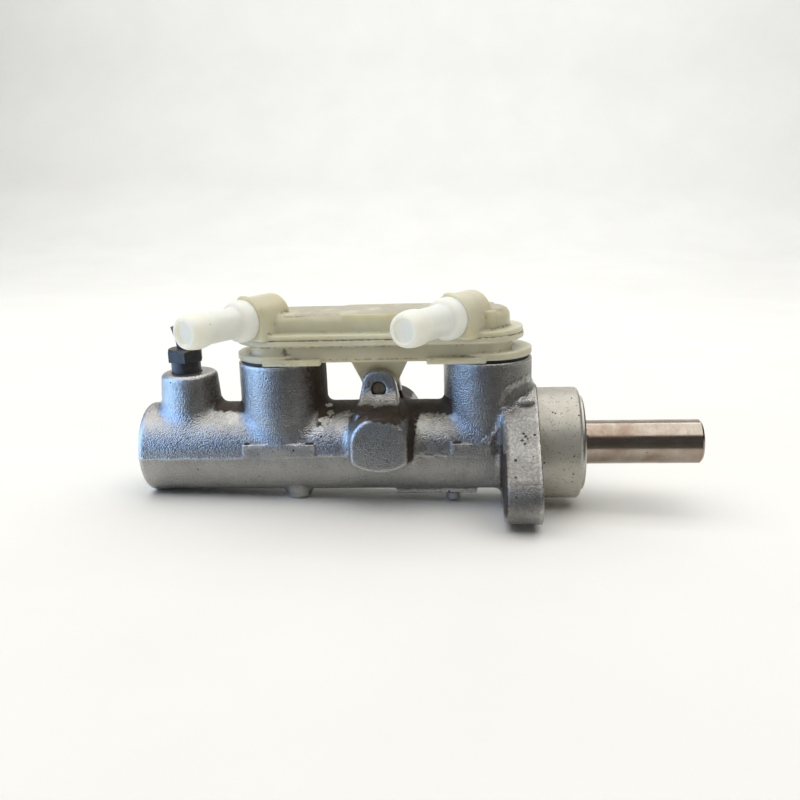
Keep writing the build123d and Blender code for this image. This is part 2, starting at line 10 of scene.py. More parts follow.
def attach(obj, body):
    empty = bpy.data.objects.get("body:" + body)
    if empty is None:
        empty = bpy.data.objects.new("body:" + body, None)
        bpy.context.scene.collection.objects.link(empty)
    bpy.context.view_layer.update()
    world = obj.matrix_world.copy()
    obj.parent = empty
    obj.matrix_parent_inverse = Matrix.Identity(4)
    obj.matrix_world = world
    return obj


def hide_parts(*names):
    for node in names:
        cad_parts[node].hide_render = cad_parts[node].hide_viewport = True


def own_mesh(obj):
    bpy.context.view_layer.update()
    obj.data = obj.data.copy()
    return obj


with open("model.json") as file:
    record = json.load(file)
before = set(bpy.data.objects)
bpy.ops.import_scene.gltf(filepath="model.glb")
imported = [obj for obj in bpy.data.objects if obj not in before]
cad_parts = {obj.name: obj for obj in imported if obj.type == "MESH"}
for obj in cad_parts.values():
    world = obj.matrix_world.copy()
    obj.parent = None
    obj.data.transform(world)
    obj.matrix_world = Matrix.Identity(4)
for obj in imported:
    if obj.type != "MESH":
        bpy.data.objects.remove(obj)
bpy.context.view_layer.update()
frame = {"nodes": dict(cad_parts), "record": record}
nodes = frame["nodes"]
MM = 0.001


# ---- noise on points
def between_cells(grid, i, f):
    """Values of a grid at fractions f between cells i and i + 1."""
    total = np.zeros(len(f), np.float32)
    for corner in np.ndindex(2, 2, 2):
        weight = np.ones(len(f), np.float32)
        for k in range(3):
            weight *= f[:, k] if corner[k] else 1 - f[:, k]
        at = (i + corner) % grid.shape
        total += weight * grid[at[:, 0], at[:, 1], at[:, 2]]
    return total


def lattice_noise(points, cell, seed):
    """Smooth value noise from -1 to 1 at points, with features about cell wide."""
    size = 40
    table = np.random.default_rng(seed).random((size, size, size), dtype=np.float32) * 2 - 1
    p = np.asarray(points, np.float32) / cell + 1000.0
    i = np.floor(p).astype(np.int64)
    f = p - i
    return between_cells(table, i, f * f * (3 - 2 * f))


def ramp(value, low, high):
    """Smooth step from 0 at low to 1 at high."""
    t = np.clip((value - low) / (high - low), 0, 1)
    return t * t * (3 - 2 * t)


# ---- distance fields and meshing
def round_max(a, b, r):
    """Intersection of two distances with an edge rounded to radius r."""
    if r <= 0:
        return np.maximum(a, b)
    a, b = a + r, b + r
    return np.minimum(np.maximum(a, b), 0) + np.hypot(np.maximum(a, 0), np.maximum(b, 0)) - r


class Field:
    """A signed distance grid in millimetres, negative inside."""

    def __init__(self, lo, hi, pitch):
        self.lo = np.array(lo, np.float32)
        self.pitch = pitch
        self.axes = [np.arange(lo[k], hi[k] + pitch, pitch, dtype=np.float32) for k in range(3)]
        self.d = np.full([len(a) for a in self.axes], 50.0, np.float32)

    def block(self, lo, hi):
        """Index spans of a box, and its x, y and z ready to broadcast."""
        spans = [
            slice(np.searchsorted(a, lo[k]), np.searchsorted(a, hi[k], "right"))
            for k, a in enumerate(self.axes)
        ]
        x, y, z = (a[s] for a, s in zip(self.axes, spans))
        return tuple(spans), (x[:, None, None], y[None, :, None], z[None, None, :])

    def add(self, lo, hi, shape, k=0.0):
        """Union with shape(x, y, z), with a fillet of about k."""
        spans, xyz = self.block([v - k - 2 for v in lo], [v + k + 2 for v in hi])
        a, b = self.d[spans], shape(*xyz).astype(np.float32)
        d = np.minimum(a, b)
        if k > 0:
            h = np.maximum(k - np.abs(a - b), 0) / k
            d = d - h * h * k * 0.25
        self.d[spans] = d

    def cut(self, lo, hi, shape):
        spans, xyz = self.block([v - 2 for v in lo], [v + 2 for v in hi])
        self.d[spans] = np.maximum(self.d[spans], -shape(*xyz).astype(np.float32))

    def sample(self, points):
        p = (points - self.lo) / self.pitch
        top = np.array(self.d.shape) - 1.001
        p = np.clip(p, 0, top)
        i = p.astype(np.int64)
        return between_cells(self.d, i, (p - i).astype(np.float32))

    def gradient(self, points, reach=1.0):
        step = self.pitch * reach
        axes = np.eye(3, dtype=np.float32) * step
        rise = [self.sample(points + a) - self.sample(points - a) for a in axes]
        return np.stack(rise, 1) / (2 * step)

    def normals(self, points):
        g = self.gradient(points)
        return g / np.maximum(np.linalg.norm(g, axis=1), 1e-6)[:, None]

    def bend(self, points, reach):
        """How the field bends: above 0 on proud edges, below 0 in hollows."""
        total = -6 * self.sample(points)
        for a in np.eye(3, dtype=np.float32) * reach:
            total += self.sample(points + a) + self.sample(points - a)
        return total / (reach * reach)

    def surface(self):
        """Vertices in millimetres and quads of the zero surface."""
        d = self.d
        inside = d < 0
        count = np.zeros([n - 1 for n in d.shape], np.uint8)
        for c in np.ndindex(2, 2, 2):
            count += inside[tuple(slice(c[k], d.shape[k] - 1 + c[k]) for k in range(3))]
        active = (count > 0) & (count < 8)
        cells = np.argwhere(active)
        index = np.full(active.shape, -1, np.int64)
        index[active] = np.arange(len(cells))
        total = np.zeros((len(cells), 3), np.float32)
        hits = np.zeros(len(cells), np.float32)
        for axis in range(3):
            for u in (0, 1):
                for v in (0, 1):
                    a = np.zeros(3, np.int64)
                    a[(axis + 1) % 3], a[(axis + 2) % 3] = u, v
                    b = a.copy()
                    b[axis] = 1
                    da = d[tuple((cells + a).T)]
                    db = d[tuple((cells + b).T)]
                    cross = (da < 0) != (db < 0)
                    t = np.where(cross, da / np.where(cross, da - db, 1), 0)
                    at = np.repeat(a[None, :].astype(np.float32), len(cells), 0)
                    at[:, axis] = t
                    total += at * cross[:, None]
                    hits += cross
        verts = self.lo + (cells + total / hits[:, None]) * self.pitch
        quads = []
        for axis in range(3):
            u, v = (axis + 1) % 3, (axis + 2) % 3
            spans = [slice(1, n - 1) for n in d.shape]
            spans[axis] = slice(0, d.shape[axis] - 1)
            ahead = list(spans)
            ahead[axis] = slice(1, d.shape[axis])
            low, high = inside[tuple(spans)], inside[tuple(ahead)]
            at = np.argwhere(low != high)
            solid_low = low[tuple(at.T)]
            at = at + np.array([0 if k == axis else 1 for k in range(3)])
            corners = []
            for du, dv in ((-1, -1), (0, -1), (0, 0), (-1, 0)):
                q = at.copy()
                q[:, u] += du
                q[:, v] += dv
                corners.append(index[tuple(q.T)])
            quad = np.stack(corners, 1)
            quad[~solid_low] = quad[~solid_low][:, ::-1]
            quads.append(quad)
        for _ in range(2):
            g = self.gradient(verts, 0.6)
            verts = verts - np.clip(self.sample(verts), -0.3, 0.3)[:, None] * g / np.maximum(
                (g * g).sum(1), 0.25
            )[:, None]
        return verts.astype(np.float32), np.concatenate(quads)


def mesh_object(name, verts_mm, faces, attributes=None):
    """A smooth-shaded mesh object from millimetre points, with float attributes."""
    me = bpy.data.meshes.new(name)
    faces = np.asarray(faces, np.int32)
    sides = faces.shape[1]
    me.vertices.add(len(verts_mm))
    me.vertices.foreach_set("co", (np.asarray(verts_mm, np.float32) * MM).ravel())
    me.loops.add(faces.size)
    me.loops.foreach_set("vertex_index", faces.ravel())
    me.polygons.add(len(faces))
    me.polygons.foreach_set("loop_start", np.arange(0, faces.size, sides, dtype=np.int32))
    me.polygons.foreach_set("use_smooth", np.ones(len(faces), bool))
    me.update(calc_edges=True)
    me.validate()
    for key, values in (attributes or {}).items():
        layer = me.attributes.new(key, "FLOAT", "POINT")
        layer.data.foreach_set("value", np.asarray(values, np.float32))
    obj = bpy.data.objects.new(name, me)
    bpy.context.scene.collection.objects.link(obj)
    return obj


def ring_quads(rings, size, closed=True):
    """Quads between neighbouring rings of points; closed joins the last to the first."""
    quads = []
    for i in range(rings if closed else rings - 1):
        j = (i + 1) % rings
        for s in range(size):
            t = (s + 1) % size
            quads.append((i * size + s, j * size + s, j * size + t, i * size + t))
    return quads


def face_outward(obj, weld=False, close=False):
    """Turns the faces outward, after welding doubled points or closing open ends."""
    bm = bmesh.new()
    bm.from_mesh(obj.data)
    if weld:
        bmesh.ops.remove_doubles(bm, verts=bm.verts, dist=1e-6)
        bmesh.ops.dissolve_degenerate(bm, edges=bm.edges, dist=1e-7)
    if close:
        bmesh.ops.holes_fill(bm, edges=[e for e in bm.edges if e.is_boundary])
    bmesh.ops.recalc_face_normals(bm, faces=bm.faces)
    bm.to_mesh(obj.data)
    bm.free()


placed = []


def place(obj, body, replaced, slot):
    """Says what a piece rides on and replaces, and lists it for its material."""
    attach(obj, body)
    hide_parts(replaced)
    placed.append((obj, slot))


def shade_by_angle(obj, degrees):
    """Sharp edges above the angle, smooth elsewhere."""
    bm = bmesh.new()
    bm.from_mesh(obj.data)
    limit = math.radians(degrees)
    for e in bm.edges:
        if len(e.link_faces) == 2 and e.calc_face_angle(0) > limit:
            e.smooth = False
    for f in bm.faces:
        f.smooth = True
    bm.to_mesh(obj.data)
    bm.free()


def lathe(name, profile, origin, direction, segments):
    """Turns a closed (along, radius) outline in millimetres about a line."""
    d = Vector(direction).normalized()
    side = d.orthogonal().normalized()
    up = d.cross(side)
    points = np.array(profile, float)
    turn = np.linspace(0, 2 * math.pi, segments, endpoint=False)
    ring = np.outer(np.cos(turn), side) + np.outer(np.sin(turn), up)
    verts = np.array(origin, float) + points[:, None, 0:1] * np.array(d) + points[:, None, 1:2] * ring
    obj = mesh_object(name, verts.reshape(-1, 3), ring_quads(len(points), segments))
    face_outward(obj, weld=True)
    return obj


def bevelled(obj, width_mm, angle=30):
    m = obj.modifiers.new("edge", "BEVEL")
    m.width = width_mm * MM
    m.segments = 2
    m.limit_method = "ANGLE"
    m.angle_limit = math.radians(angle)


# ---- object dimensions, in millimetres
FRONT_X, REAR_X, OUTLET_X, HOLE_X = -100.9, -19.1, -139.6, -140.7
BLANK_X, PORT_X, PORT_Z, LUG_X, PIN_Z = -60.6, -58.8, 7.0, -61.6, 25.0
BARREL_R, BORE_R, RECESS_R, BOSS_R, POCKET_R = 18.0, 12.05, 16.1, 17.5, 11.05
BOSS_TOP, OUTLET_TOP, PAD_Y, PIN_HOLE_R = 36.0, 31.3, 18.25, 2.85
# Flange: plate and ear radius, bolt distance from the bore, left face, tilt of the ears
PLATE_R, EAR_R, BOLT_REACH, FLANGE_X, EAR = 23.5, 10.5, 36.0, -14.0, math.radians(16.0)


def tube_x(x0, x1, r, edge=0.0):
    """Solid cylinder on the bore axis."""
    def shape(x, y, z):
        radial = np.sqrt(y * y + z * z) - r
        return round_max(radial, np.maximum(x0 - x, x - x1) + 0 * radial, edge)
    return shape


def post_z(cx, cy, z0, z1, r0, r1, edge=0.0):
    """Upright cone from radius r0 at z0 to r1 at z1."""
    slope = (r1 - r0) / (z1 - z0)
    lean = 1 / math.hypot(1, slope)
    def shape(x, y, z):
        radial = (np.hypot(x - cx, y - cy) - (r0 + slope * (z - z0))) * lean
        return round_max(radial, np.maximum(z0 - z, z - z1) + 0 * radial, edge)
    return shape


def post_y(cx, cz, y0, y1, r, edge=0.0):
    def shape(x, y, z):
        radial = np.hypot(x - cx, z - cz) - r
        return round_max(radial, np.maximum(y0 - y, y - y1) + 0 * radial, edge)
    return shape


def brick(cx, cy, cz, hx, hy, hz, edge=0.0):
    def shape(x, y, z):
        q = [np.abs(x - cx) - hx + edge, np.abs(y - cy) - hy + edge, np.abs(z - cz) - hz + edge]
        out = np.sqrt(sum(np.maximum(v, 0) ** 2 for v in q))
        return out + np.minimum(np.maximum(np.maximum(q[0], q[1]), q[2]), 0) - edge
    return shape


def flange(x, y, z):
    """Round plate with an ear on each side, tangent to both circles."""
    r1, r2, h = PLATE_R, EAR_R, BOLT_REACH
    b = (r1 - r2) / h
    a = math.sqrt(1 - b * b)
    along = np.abs(y * math.cos(EAR) + z * math.sin(EAR))
    across = np.abs(-y * math.sin(EAR) + z * math.cos(EAR))
    k = -b * across + a * along
    flat = np.where(
        k < 0,
        np.hypot(across, along) - r1,
        np.where(k > a * h, np.hypot(across, along - h) - r2, a * across + b * along - r1),
    )
    left = round_max(flat, FLANGE_X - x + 0 * flat, 1.8)
    return round_max(left, x + 0 * flat, 0.5)


def blank_boss(x, y, z):
    """Closed D-shaped boss that narrows toward its -Y face."""
    t = np.clip((-12.0 - y) / 14.5, -0.6, 1.0)
    half = 13.2 + (11.1 - 13.2) * t
    top = 19.4 + (17.8 - 19.4) * t
    low = -0.2 - 0.2 * t
    bottom = -4.6 + 0.8 * t
    mid = top - half
    dx = np.abs(x - BLANK_X)
    arch = np.where(z > mid, np.hypot(dx, z - mid) - half, dx - half)
    sag = low - bottom
    arc_r = (half * half + sag * sag) / (2 * sag)
    under = np.hypot(dx, z - (bottom + arc_r)) - arc_r
    under = np.where(z < mid, under, -5.0)
    side = round_max(arch, under, 1.6)
    face = -26.5 - y + 0.00144 * dx * dx
    return round_max(side, face + 0 * side, 1.3)


def rear_pad(x, y, z):
    """Flat pad on the barrel under the rear boss that fades out toward the flange."""
    fade = ramp(x, -28.0, -17.5)
    side = np.maximum(np.abs(x + 25.5) - 8.0, np.abs(y) - PAD_Y + 0.5 * fade)
    return round_max(side, np.maximum(z - 5.3 + 4.0 * fade, -0.2 - z), 0.35)


def clevis_ear(y0, y1):
    """Tapered upright ear with a round top."""
    def shape(x, y, z):
        dx = np.abs(x - LUG_X)
        head_z = 27.0
        width = 9.6 - (z - 12.0) * 0.20
        flank = (dx - np.maximum(width, 5.2)) * 0.98
        cap = np.hypot(np.maximum(dx - 1.3, 0), np.maximum(z - head_z, 0)) - 5.25
        outline = np.where(z > head_z, np.maximum(cap, flank), flank)
        foot = 8.0 * np.clip((26.0 - z) / 8.0, 0, 1) ** 2 * (y0 < 0)
        return round_max(outline, np.maximum((y0 - foot - y) * 0.9, y - y1) + 0 * outline, 0.9)
    return shape


def nub(cx, cy, cz, rx, ry, rz):
    def shape(x, y, z):
        q = np.sqrt(((x - cx) / rx) ** 2 + ((y - cy) / ry) ** 2 + ((z - cz) / rz) ** 2)
        return (q - 1) * min(rx, ry, rz)
    return shape


def away_from(points, spot, size):
    """Distance of each point from a spot, in units of size."""
    return np.linalg.norm((points - np.array(spot)) / np.array(size), axis=1)


# Light frosted places on the casting, those on the front boss's fillet partly a painted highlight: x, y,
# z, radius, strength
PATCHES = (
    (-82.0, -4.5, 17.3, 2.6, 0.9), (-81.4, -8.5, 15.6, 2.6, 0.95), (-83.0, -12.0, 13.0, 3.0, 1.0),
    (-85.5, -14.6, 10.4, 3.0, 0.9), (-88.0, -16.2, 8.0, 2.2, 0.8), (-75.0, -15.5, 9.0, 5.2, 0.55),
    (-71.5, -14.6, 10.6, 3.6, 0.5), (-45.0, -13.6, 11.4, 6.0, 0.55), (-39.5, -14.6, 9.8, 5.2, 0.5),
    (-36.0, -16.0, 7.0, 2.6, 0.55), (-61.5, -13.0, 20.0, 4.6, 0.5), (-57.0, -11.6, 20.4, 2.6, 0.5),
    (-120.0, -10.5, 14.2, 4.4, 0.5), (-127.0, -8.0, 16.0, 4.0, 0.4),
)
# Crumbled ridges left by the die at the flange end
CRUMBLED = (
    (
        (-2.0, -5.6, 28.5), (-6.2, -11.4, 27.8), (-10.1, -15.0, 26.7), (-12.8, -16.6, 24.8),
        (-14.0, -17.0, 20.5),
    ),
    ((-13.8, -14.0, 14.4), (-16.9, -16.8, 10.2), (-19.6, -18.0, 6.5)),
)
# Lower edge of the oily film on the barrel: x, z
FILM_EDGE = (
    (-86, 8), (-80, 14.5), (-75, 15.6), (-70, 16.3), (-66, 17.2), (-56, 15.5), (-52, 14.6), (-46, 15.4),
    (-38, 14.9),
)
# Small dark pits in the flange's rim: x, y, z, radius
RIM_PITS = (
    (-9.5, -34.1, 3.8, 0.6), (-9.9, -40.0, -0.6, 0.5), (-10.0, -44.8, -6.5, 0.5), (-2.1, -25.0, 10.6, 0.5),
    (-6.2, -24.5, 11.2, 0.5), (-5.6, -25.6, 10.2, 0.5), (-6.9, -27.0, 9.2, 0.5), (-4.8, -26.4, 9.7, 0.4),
    (-6.0, -28.2, 8.2, 0.5), (-3.2, -33.0, 4.8, 0.4), (-7.4, -36.6, 2.0, 0.4), (-2.6, -42.8, -2.0, 0.5),
)


def parting_height(x):
    """Height of the die parting line along the barrel."""
    level = np.where(x < -112, -0.15, 0.7)
    wave = 0.45 * np.sin((x + 47) * 0.95) * ((x > -47) & (x < -34))
    return level + wave


def on_barrel(x, radial):
    """1 where the parting line shows: plain barrel wall between the pads and bosses."""
    pads = (np.abs(x - FRONT_X) > 14.2) & ((x < -33.6) | (x > -16))
    return pads * (np.abs(x - BLANK_X) > 13.4) * (x < -34) * (radial < 18.9)


def casting_field():
    """The casting's shape, with its holes."""
    pitch = 0.42
    f = Field((-159.6, -46.6, -24.8), (1.4, 46.6, 37.4), pitch)
    f.add((-159, -18, -18), (0, 18, 18), tube_x(-158.2, -6, BARREL_R, 2.4))
    for x in (FRONT_X, REAR_X):
        boss = post_z(x, 0, 3, BOSS_TOP, BOSS_R, BOSS_R - 0.2, 0.5)
        f.add((x - 18, -18, 3), (x + 18, 18, BOSS_TOP), boss, 3.2)
    f.add((-152, -13, 5), (-126, 13, 32), post_z(OUTLET_X, 0, 5, OUTLET_TOP, 13.2, 11.1, 1.9), 3.4)
    f.add((-14, -46, -24), (0, 46, 24), flange, 3.4)
    front_pad = brick(FRONT_X, 0, 2.55, 14.3, PAD_Y, 2.75, 0.35)
    f.add((-116, -19, -1), (-86, 19, 6), front_pad, 0.5)
    f.add((-35, -19, -1), (-16, 19, 6), rear_pad, 0.5)
    f.add((-75, -27, -6), (-46, -5, 20), blank_boss, 3.2)
    f.add((-71, 5, -5), (-46, 28, 19), post_y(PORT_X, PORT_Z, 5, 28, 11.3, 1.0), 3.5)
    for y0 in (-9.0, 4.0):
        f.add((-73, y0 - 10, 10), (-50, y0 + 6, 33), clevis_ear(y0, y0 + 5), 2.0)
    f.add((-57, -6, -20), (-23, 6, -14), brick(-40, 0, -16.8, 16.25, 6, 2.5, 0.3), 0.6)
    f.add((-103, -11, -21), (-90, 1, -14), post_z(-96.3, -5, -20.4, -12, 4.9, 6.6, 1.5), 1.0)
    f.add((-9, -17, 15), (-1, -8, 24), nub(-5.0, -12.9, 19.7, 3.5, 1.9, 1.9), 0.7)

    # Thin flash along the parting line
    spans, (x, y, z) = f.block((-158, -20, -4), (-16, 20, 6))
    near = np.exp(-(((z - parting_height(x)) / 0.34) ** 2)) * (np.abs(y) > 12)
    f.d[spans] -= (0.30 * near * on_barrel(x, np.hypot(y, z))).astype(np.float32)

    # Bore and seal recess, reservoir pockets with their feed holes, front outlet, far outlet
    f.cut((-150, -12, -12), (0, 12, 12), tube_x(-150, 3, BORE_R))
    f.cut((-2, -17, -17), (3, 17, 17), tube_x(-2.0, 3, RECESS_R))
    for x in (FRONT_X, REAR_X):
        f.cut((x - 11, -11, 25), (x + 11, 11, 39), post_z(x, 0, 25, 39, POCKET_R, POCKET_R))
        f.cut((x + 1, -3, 8), (x + 7, 3, 28), post_z(x + 4.1, 0, 8, 28, 2.5, 2.5))
    f.cut((HOLE_X - 7, -7, 16), (HOLE_X + 7, 7, 33), post_z(HOLE_X, 0, 19.5, 34, 6.05, 6.05))
    f.cut((HOLE_X - 5, -5, 16), (HOLE_X + 5, 5, 20), post_z(HOLE_X, 0, 16.5, 20, 4.7, 4.7))
    f.cut((PORT_X - 7, 14, 0), (PORT_X + 7, 30, 14), post_y(PORT_X, PORT_Z, 14, 30, 4.9))
    f.cut(
        (PORT_X - 7, 26, 0),
        (PORT_X + 7, 30, 14),
        lambda x, y, z: (np.hypot(x - PORT_X, z - PORT_Z) - 6.2 - (y - 28.0)) * 0.7,
    )
    # Bolt holes, pin hole and the cored hole under the ledge
    for side in (-1, 1):
        cy, cz = side * BOLT_REACH * math.cos(EAR), side * BOLT_REACH * math.sin(EAR)
        f.cut(
            (-15, cy - 5, cz - 5),
            (2, cy + 5, cz + 5),
            lambda x, y, z, cy=cy, cz=cz: np.hypot(y - cy, z - cz) - 4.4 + 0 * x,
        )
    f.cut((-65, -10, 21), (-58, 10, 29), post_y(LUG_X, PIN_Z, -10, 10, PIN_HOLE_R))
    f.cut((-37, -6, -23), (-30, 0, -14), post_z(-33.5, -3, -23, -14.8, 2.35, 2.35))
    return f


def machined_faces(x, y, z):
    """1 on faces cut after casting: flange face, recess, bore and pockets."""
    radial = np.hypot(y, z)
    cut = (x > -0.35) | ((radial < 12.4) & (x > -151)) | ((radial < 16.4) & (x > -2.6))
    for boss_x in (FRONT_X, REAR_X):
        cut |= (np.hypot(x - boss_x, y) < 11.5) & (z > 18)
    return cut.astype(np.float32)


def distance_to_ridges(points):
    """Distance to the nearest crumbled ridge, up to 9 mm."""
    nearest = np.full(len(points), 9.0)
    for line in CRUMBLED:
        for start, end in zip(line, line[1:]):
            a, b = np.array(start), np.array(end) - np.array(start)
            t = np.clip(((points - a) @ b) / (b @ b), 0, 1)
            nearest = np.minimum(nearest, np.linalg.norm(points - a - t[:, None] * b, axis=1))
    return nearest


def film_and_shade(x, y, z, normals, rough, fine, slow):
    """Brown dirt, strongest on top of the barrel, with painted shade in the corners and on the sides
    turned from the light.
    """
    nx, ny, nz = normals.T
    # On top of the barrel between the bosses
    between = ramp(x, -88, -84) * ramp(-31 - x, 0, 4)
    film = ramp(z + 0.55 * fine - np.interp(x, *zip(*FILM_EDGE)), -0.9, 1.1) * between * (z < 21)
    left = ramp(x, -130, -127) * ramp(-114 - x, 0, 3)
    film = np.maximum(film, ramp(z + 0.6 * fine, 15.6, 17.2) * left * (z < 20))
    # Painted shade, brownish, on the sides of the bosses that face the flange, away from the window light
    for boss_x, boss_r, strength in ((FRONT_X, 17.6, 0.80), (OUTLET_X, 12.0, 0.62), (REAR_X, 17.6, 0.12)):
        near = (np.abs(np.hypot(x - boss_x, y) - boss_r) < 2.6) & (z > 8)
        shade = ramp(nx, 0.25, 0.95) * ramp(-ny, -0.6, 0.1) * near
        film = np.maximum(film, strength * shade * ramp(z + rough, 6, 14))
    # Painted shade with some dirt in the corner between the flange, the rear boss and the barrel, and
    # along the flange's foot
    edge_x = np.interp(z, [-8, 1, 6.5, 10.2, 14.4], [-16.0, -18.6, -19.0, -16.2, -13.2])
    corner = ramp(x - edge_x, -0.4, 0.8) * ramp(-12.6 - x, -2.2, 0.3) * (y < 0)
    corner = corner * ramp(z + 0.8 * fine, -2, 2) * ramp(16 - z + 0.8 * fine, 0, 5)
    film = np.maximum(film, corner * (0.50 + 0.15 * slow + 0.12 * rough))
    seam = ramp(x, -15.6, -14.2) * ramp(-13.2 - x, -1.0, 0.0) * (y < 0)
    film = np.maximum(film, 0.8 * seam * ramp(z + rough, -19, -12) * ramp(8 - z, 0, 4))
    # Painted shade down the right flank of the blank boss where it meets the barrel, and brown dirt round
    # its crown
    flank_x = np.interp(z, [-2, 8, 16], [12.4, 13.2, 15.2])
    flank = ramp(x - BLANK_X, 9.6, 11.4) * ramp(BLANK_X + flank_x - x + 0.3 * fine, -0.4, 0.9)
    flank = flank * (y < -7) * ramp(z, -3.0, 0.0) * ramp(21 - z, 0, 2)
    film = np.maximum(film, 0.85 * flank)
    crown = ramp(nz, 0.35, 0.85) * (np.abs(x - BLANK_X) < 13) * (y < -11) * (y > -25.2) * (z > 8)
    film = np.maximum(film, 0.62 * crown * ramp(rough, -2.2, 0.2))
    lug_front = (np.abs(x - LUG_X) < 9.5) & (y < -8.6) & (z > 19.0)
    film = film * (1 - 0.9 * lug_front * ramp(z, 18.6, 20.6))
    # Painted shade with some dirt at the ends of the pads' ledges
    ledge_end = (np.abs(z - 5.6) < 0.45) & (y < -12)
    for end_x, half in ((-113.6, 1.0), (-88.6, 1.6), (-31.4, 1.8)):
        film = np.maximum(film, ledge_end * ramp(half - np.abs(x - end_x) + 0.4 * fine, -0.3, 0.6))
    return film


def flange_pits(points, fine):
    """1 in the small dark pits of the flange's rim."""
    x, y, _ = points.T
    pits = ramp(lattice_noise(points, 0.85, 41), 1.05, 1.4) * ramp(x, -16, -12) * (y < 0)
    for *spot, size in RIM_PITS:
        pits = np.maximum(pits, ramp(1.1 - away_from(points, spot, size) + 0.35 * fine, 0.0, 0.4))
    return pits


def frost_and_highlights(points, ny, hollow, crumble, fine, slow):
    """Pale rough places: hollows, patches and crumbled ridges, plus a painted highlight on top of the
    barrel's left end and a painted reflection of the floor underneath.
    """
    x, _, z = points.T
    ragged = 0.6 * lattice_noise(points, 1.9, 25) + 0.7 * lattice_noise(points, 0.7, 26)
    frost = 0.35 * ramp(hollow, 0.3, 0.7) * ramp(fine, -0.4, 0.5)
    for *spot, size, strength in PATCHES:
        near = 1.05 - away_from(points, spot, size) + 0.42 * ragged
        frost = np.maximum(frost, strength * ramp(near, 0.0, 0.7))
    frost = np.maximum(frost, 0.95 * ramp(1.5 - crumble + 0.7 * ragged, 0.0, 0.6))
    # Painted highlight along the top of the barrel's left end
    top_highlight = 0.34 * ramp(z, 6.5, 11) * ramp(17.5 - z, 0, 2.5) * (x < -115) * ramp(slow, -1.2, 0.6)
    # Painted reflection of the lit floor on the lower, front-facing barrel
    under = 0.36 * ramp(-z, 3, 12) * ramp(-ny, 0.0, 0.5) * (x < -16)
    return frost, np.clip(frost + (top_highlight + under) * ramp(fine, -1.6, 0.6), 0, 1)


def build_casting():
    """Meshes the casting, roughens its skin and paints its dirt and pale places, with painted shade, a
    painted highlight and a painted floor reflection.
    """
    field = casting_field()
    verts, faces = field.surface()
    normals = field.normals(verts)
    # Die-cast skin: slow waviness, a fine sand grain and chipped ridges
    skin = 1 - machined_faces(*verts.T)
    wave = 0.09 * lattice_noise(verts, 9.0, 11) + 0.03 * lattice_noise(verts, 4.0, 12)
    grain = 0.014 * lattice_noise(verts, 1.2, 13) + 0.013 * lattice_noise(verts, 0.8, 14)
    crumble = distance_to_ridges(verts)
    chips = 0.34 * ramp(2.6 - crumble, 0, 1) * lattice_noise(verts, 1.3, 51)
    x, y, z = verts.T
    verts = verts + normals * (skin * (wave + grain + chips))[:, None]

    bend = field.bend(verts, 1.6)
    hollow = ramp(-bend, -0.01, 0.30)
    proud = ramp(bend, 0.12, 0.55)
    rough = lattice_noise(verts, 3.2, 21) + 0.6 * lattice_noise(verts, 1.4, 22)
    fine = lattice_noise(verts, 0.9, 24) + 0.5 * rough
    slow = lattice_noise(verts, 14.0, 23)
    radial = np.hypot(y, z)
    ny = normals[:, 1]

    film = film_and_shade(x, y, z, normals, rough, fine, slow)
    # Darker in the hollows
    hollow_darkening = 0.26 * hollow * ramp(slow + rough * 0.5, -0.7, 0.6) * (x < -17)
    rim = (x > -14.2) & (radial > 21.5) & (np.hypot(x - REAR_X, y) > 18.6)
    # Painted shade on faces turned toward the front, strongest on the flange's rim
    front_shade = 0.12 * ramp(-ny, 0.5, 0.9) * ramp(z, -6, 0) + 0.34 * rim * ramp(-ny, 0.3, 0.7)
    film = np.maximum(film, front_shade * ramp(slow, -1.5, 0.5))
    # Brown dirt and pits, together with the painted shade above
    grime_and_shade = np.clip(film + hollow_darkening + 0.8 * flange_pits(verts, fine), 0, 1) * skin

    # The second value adds the painted highlight and the painted floor reflection to the pale places
    patches, frost = frost_and_highlights(verts, ny, hollow, crumble, fine, slow)
    grime_and_shade = grime_and_shade * (1 - 0.85 * ramp(patches, 0.25, 0.75))
    flash = np.exp(-(((z - parting_height(x)) / 0.17) ** 2)) * (np.abs(y) > 12)
    flash = flash * on_barrel(x, radial) * ramp(fine, -1.4, -0.2)
    pad_edge = (np.abs(z - 5.2) < 0.22) & (np.abs(y) > 17.9) & (np.abs(x - FRONT_X) < 14.4)
    pale_and_highlight = np.clip(0.55 * proud + 0.8 * flash + 0.6 * pad_edge + frost, 0, 1) * skin
    return mesh_object("cylinder_casting", verts, faces, {"grime_and_shade": grime_and_shade, "pale_and_highlight": pale_and_highlight})


place(build_casting(), "housing", "cylinder_body", "cast_alloy")

spigot = lathe(
    "booster_spigot",
    [
        (-0.6, 16.05), (-0.6, 22.2), (0.0, 22.2), (14.9, 22.2), (15.5, 22.1), (16.4, 21.2),
        (16.4, 19.5), (16.1, 19.1), (12.4, 19.1), (12.4, 16.05),
    ],
    (0, 0, 0),
    (1, 0, 0),
    segments=160,
)
shade_by_angle(spigot, 28)
bevelled(spigot, 0.18)
place(spigot, "housing", "cylinder_body", "cast_alloy")


# ---- union parts
def stadium(x0, x1, half, z0, z1, edge_top=0.0, edge_bottom=0.0):
    """Plate with round ends."""
    c0, c1 = x0 + half, x1 - half
    def shape(x, y, z):
        outline = np.hypot(x - np.clip(x, c0, c1), y + 0 * x) - half
        top = round_max(outline, z - z1 + 0 * outline, edge_top)
        return round_max(top, z0 - z + 0 * outline, edge_bottom)
    return shape


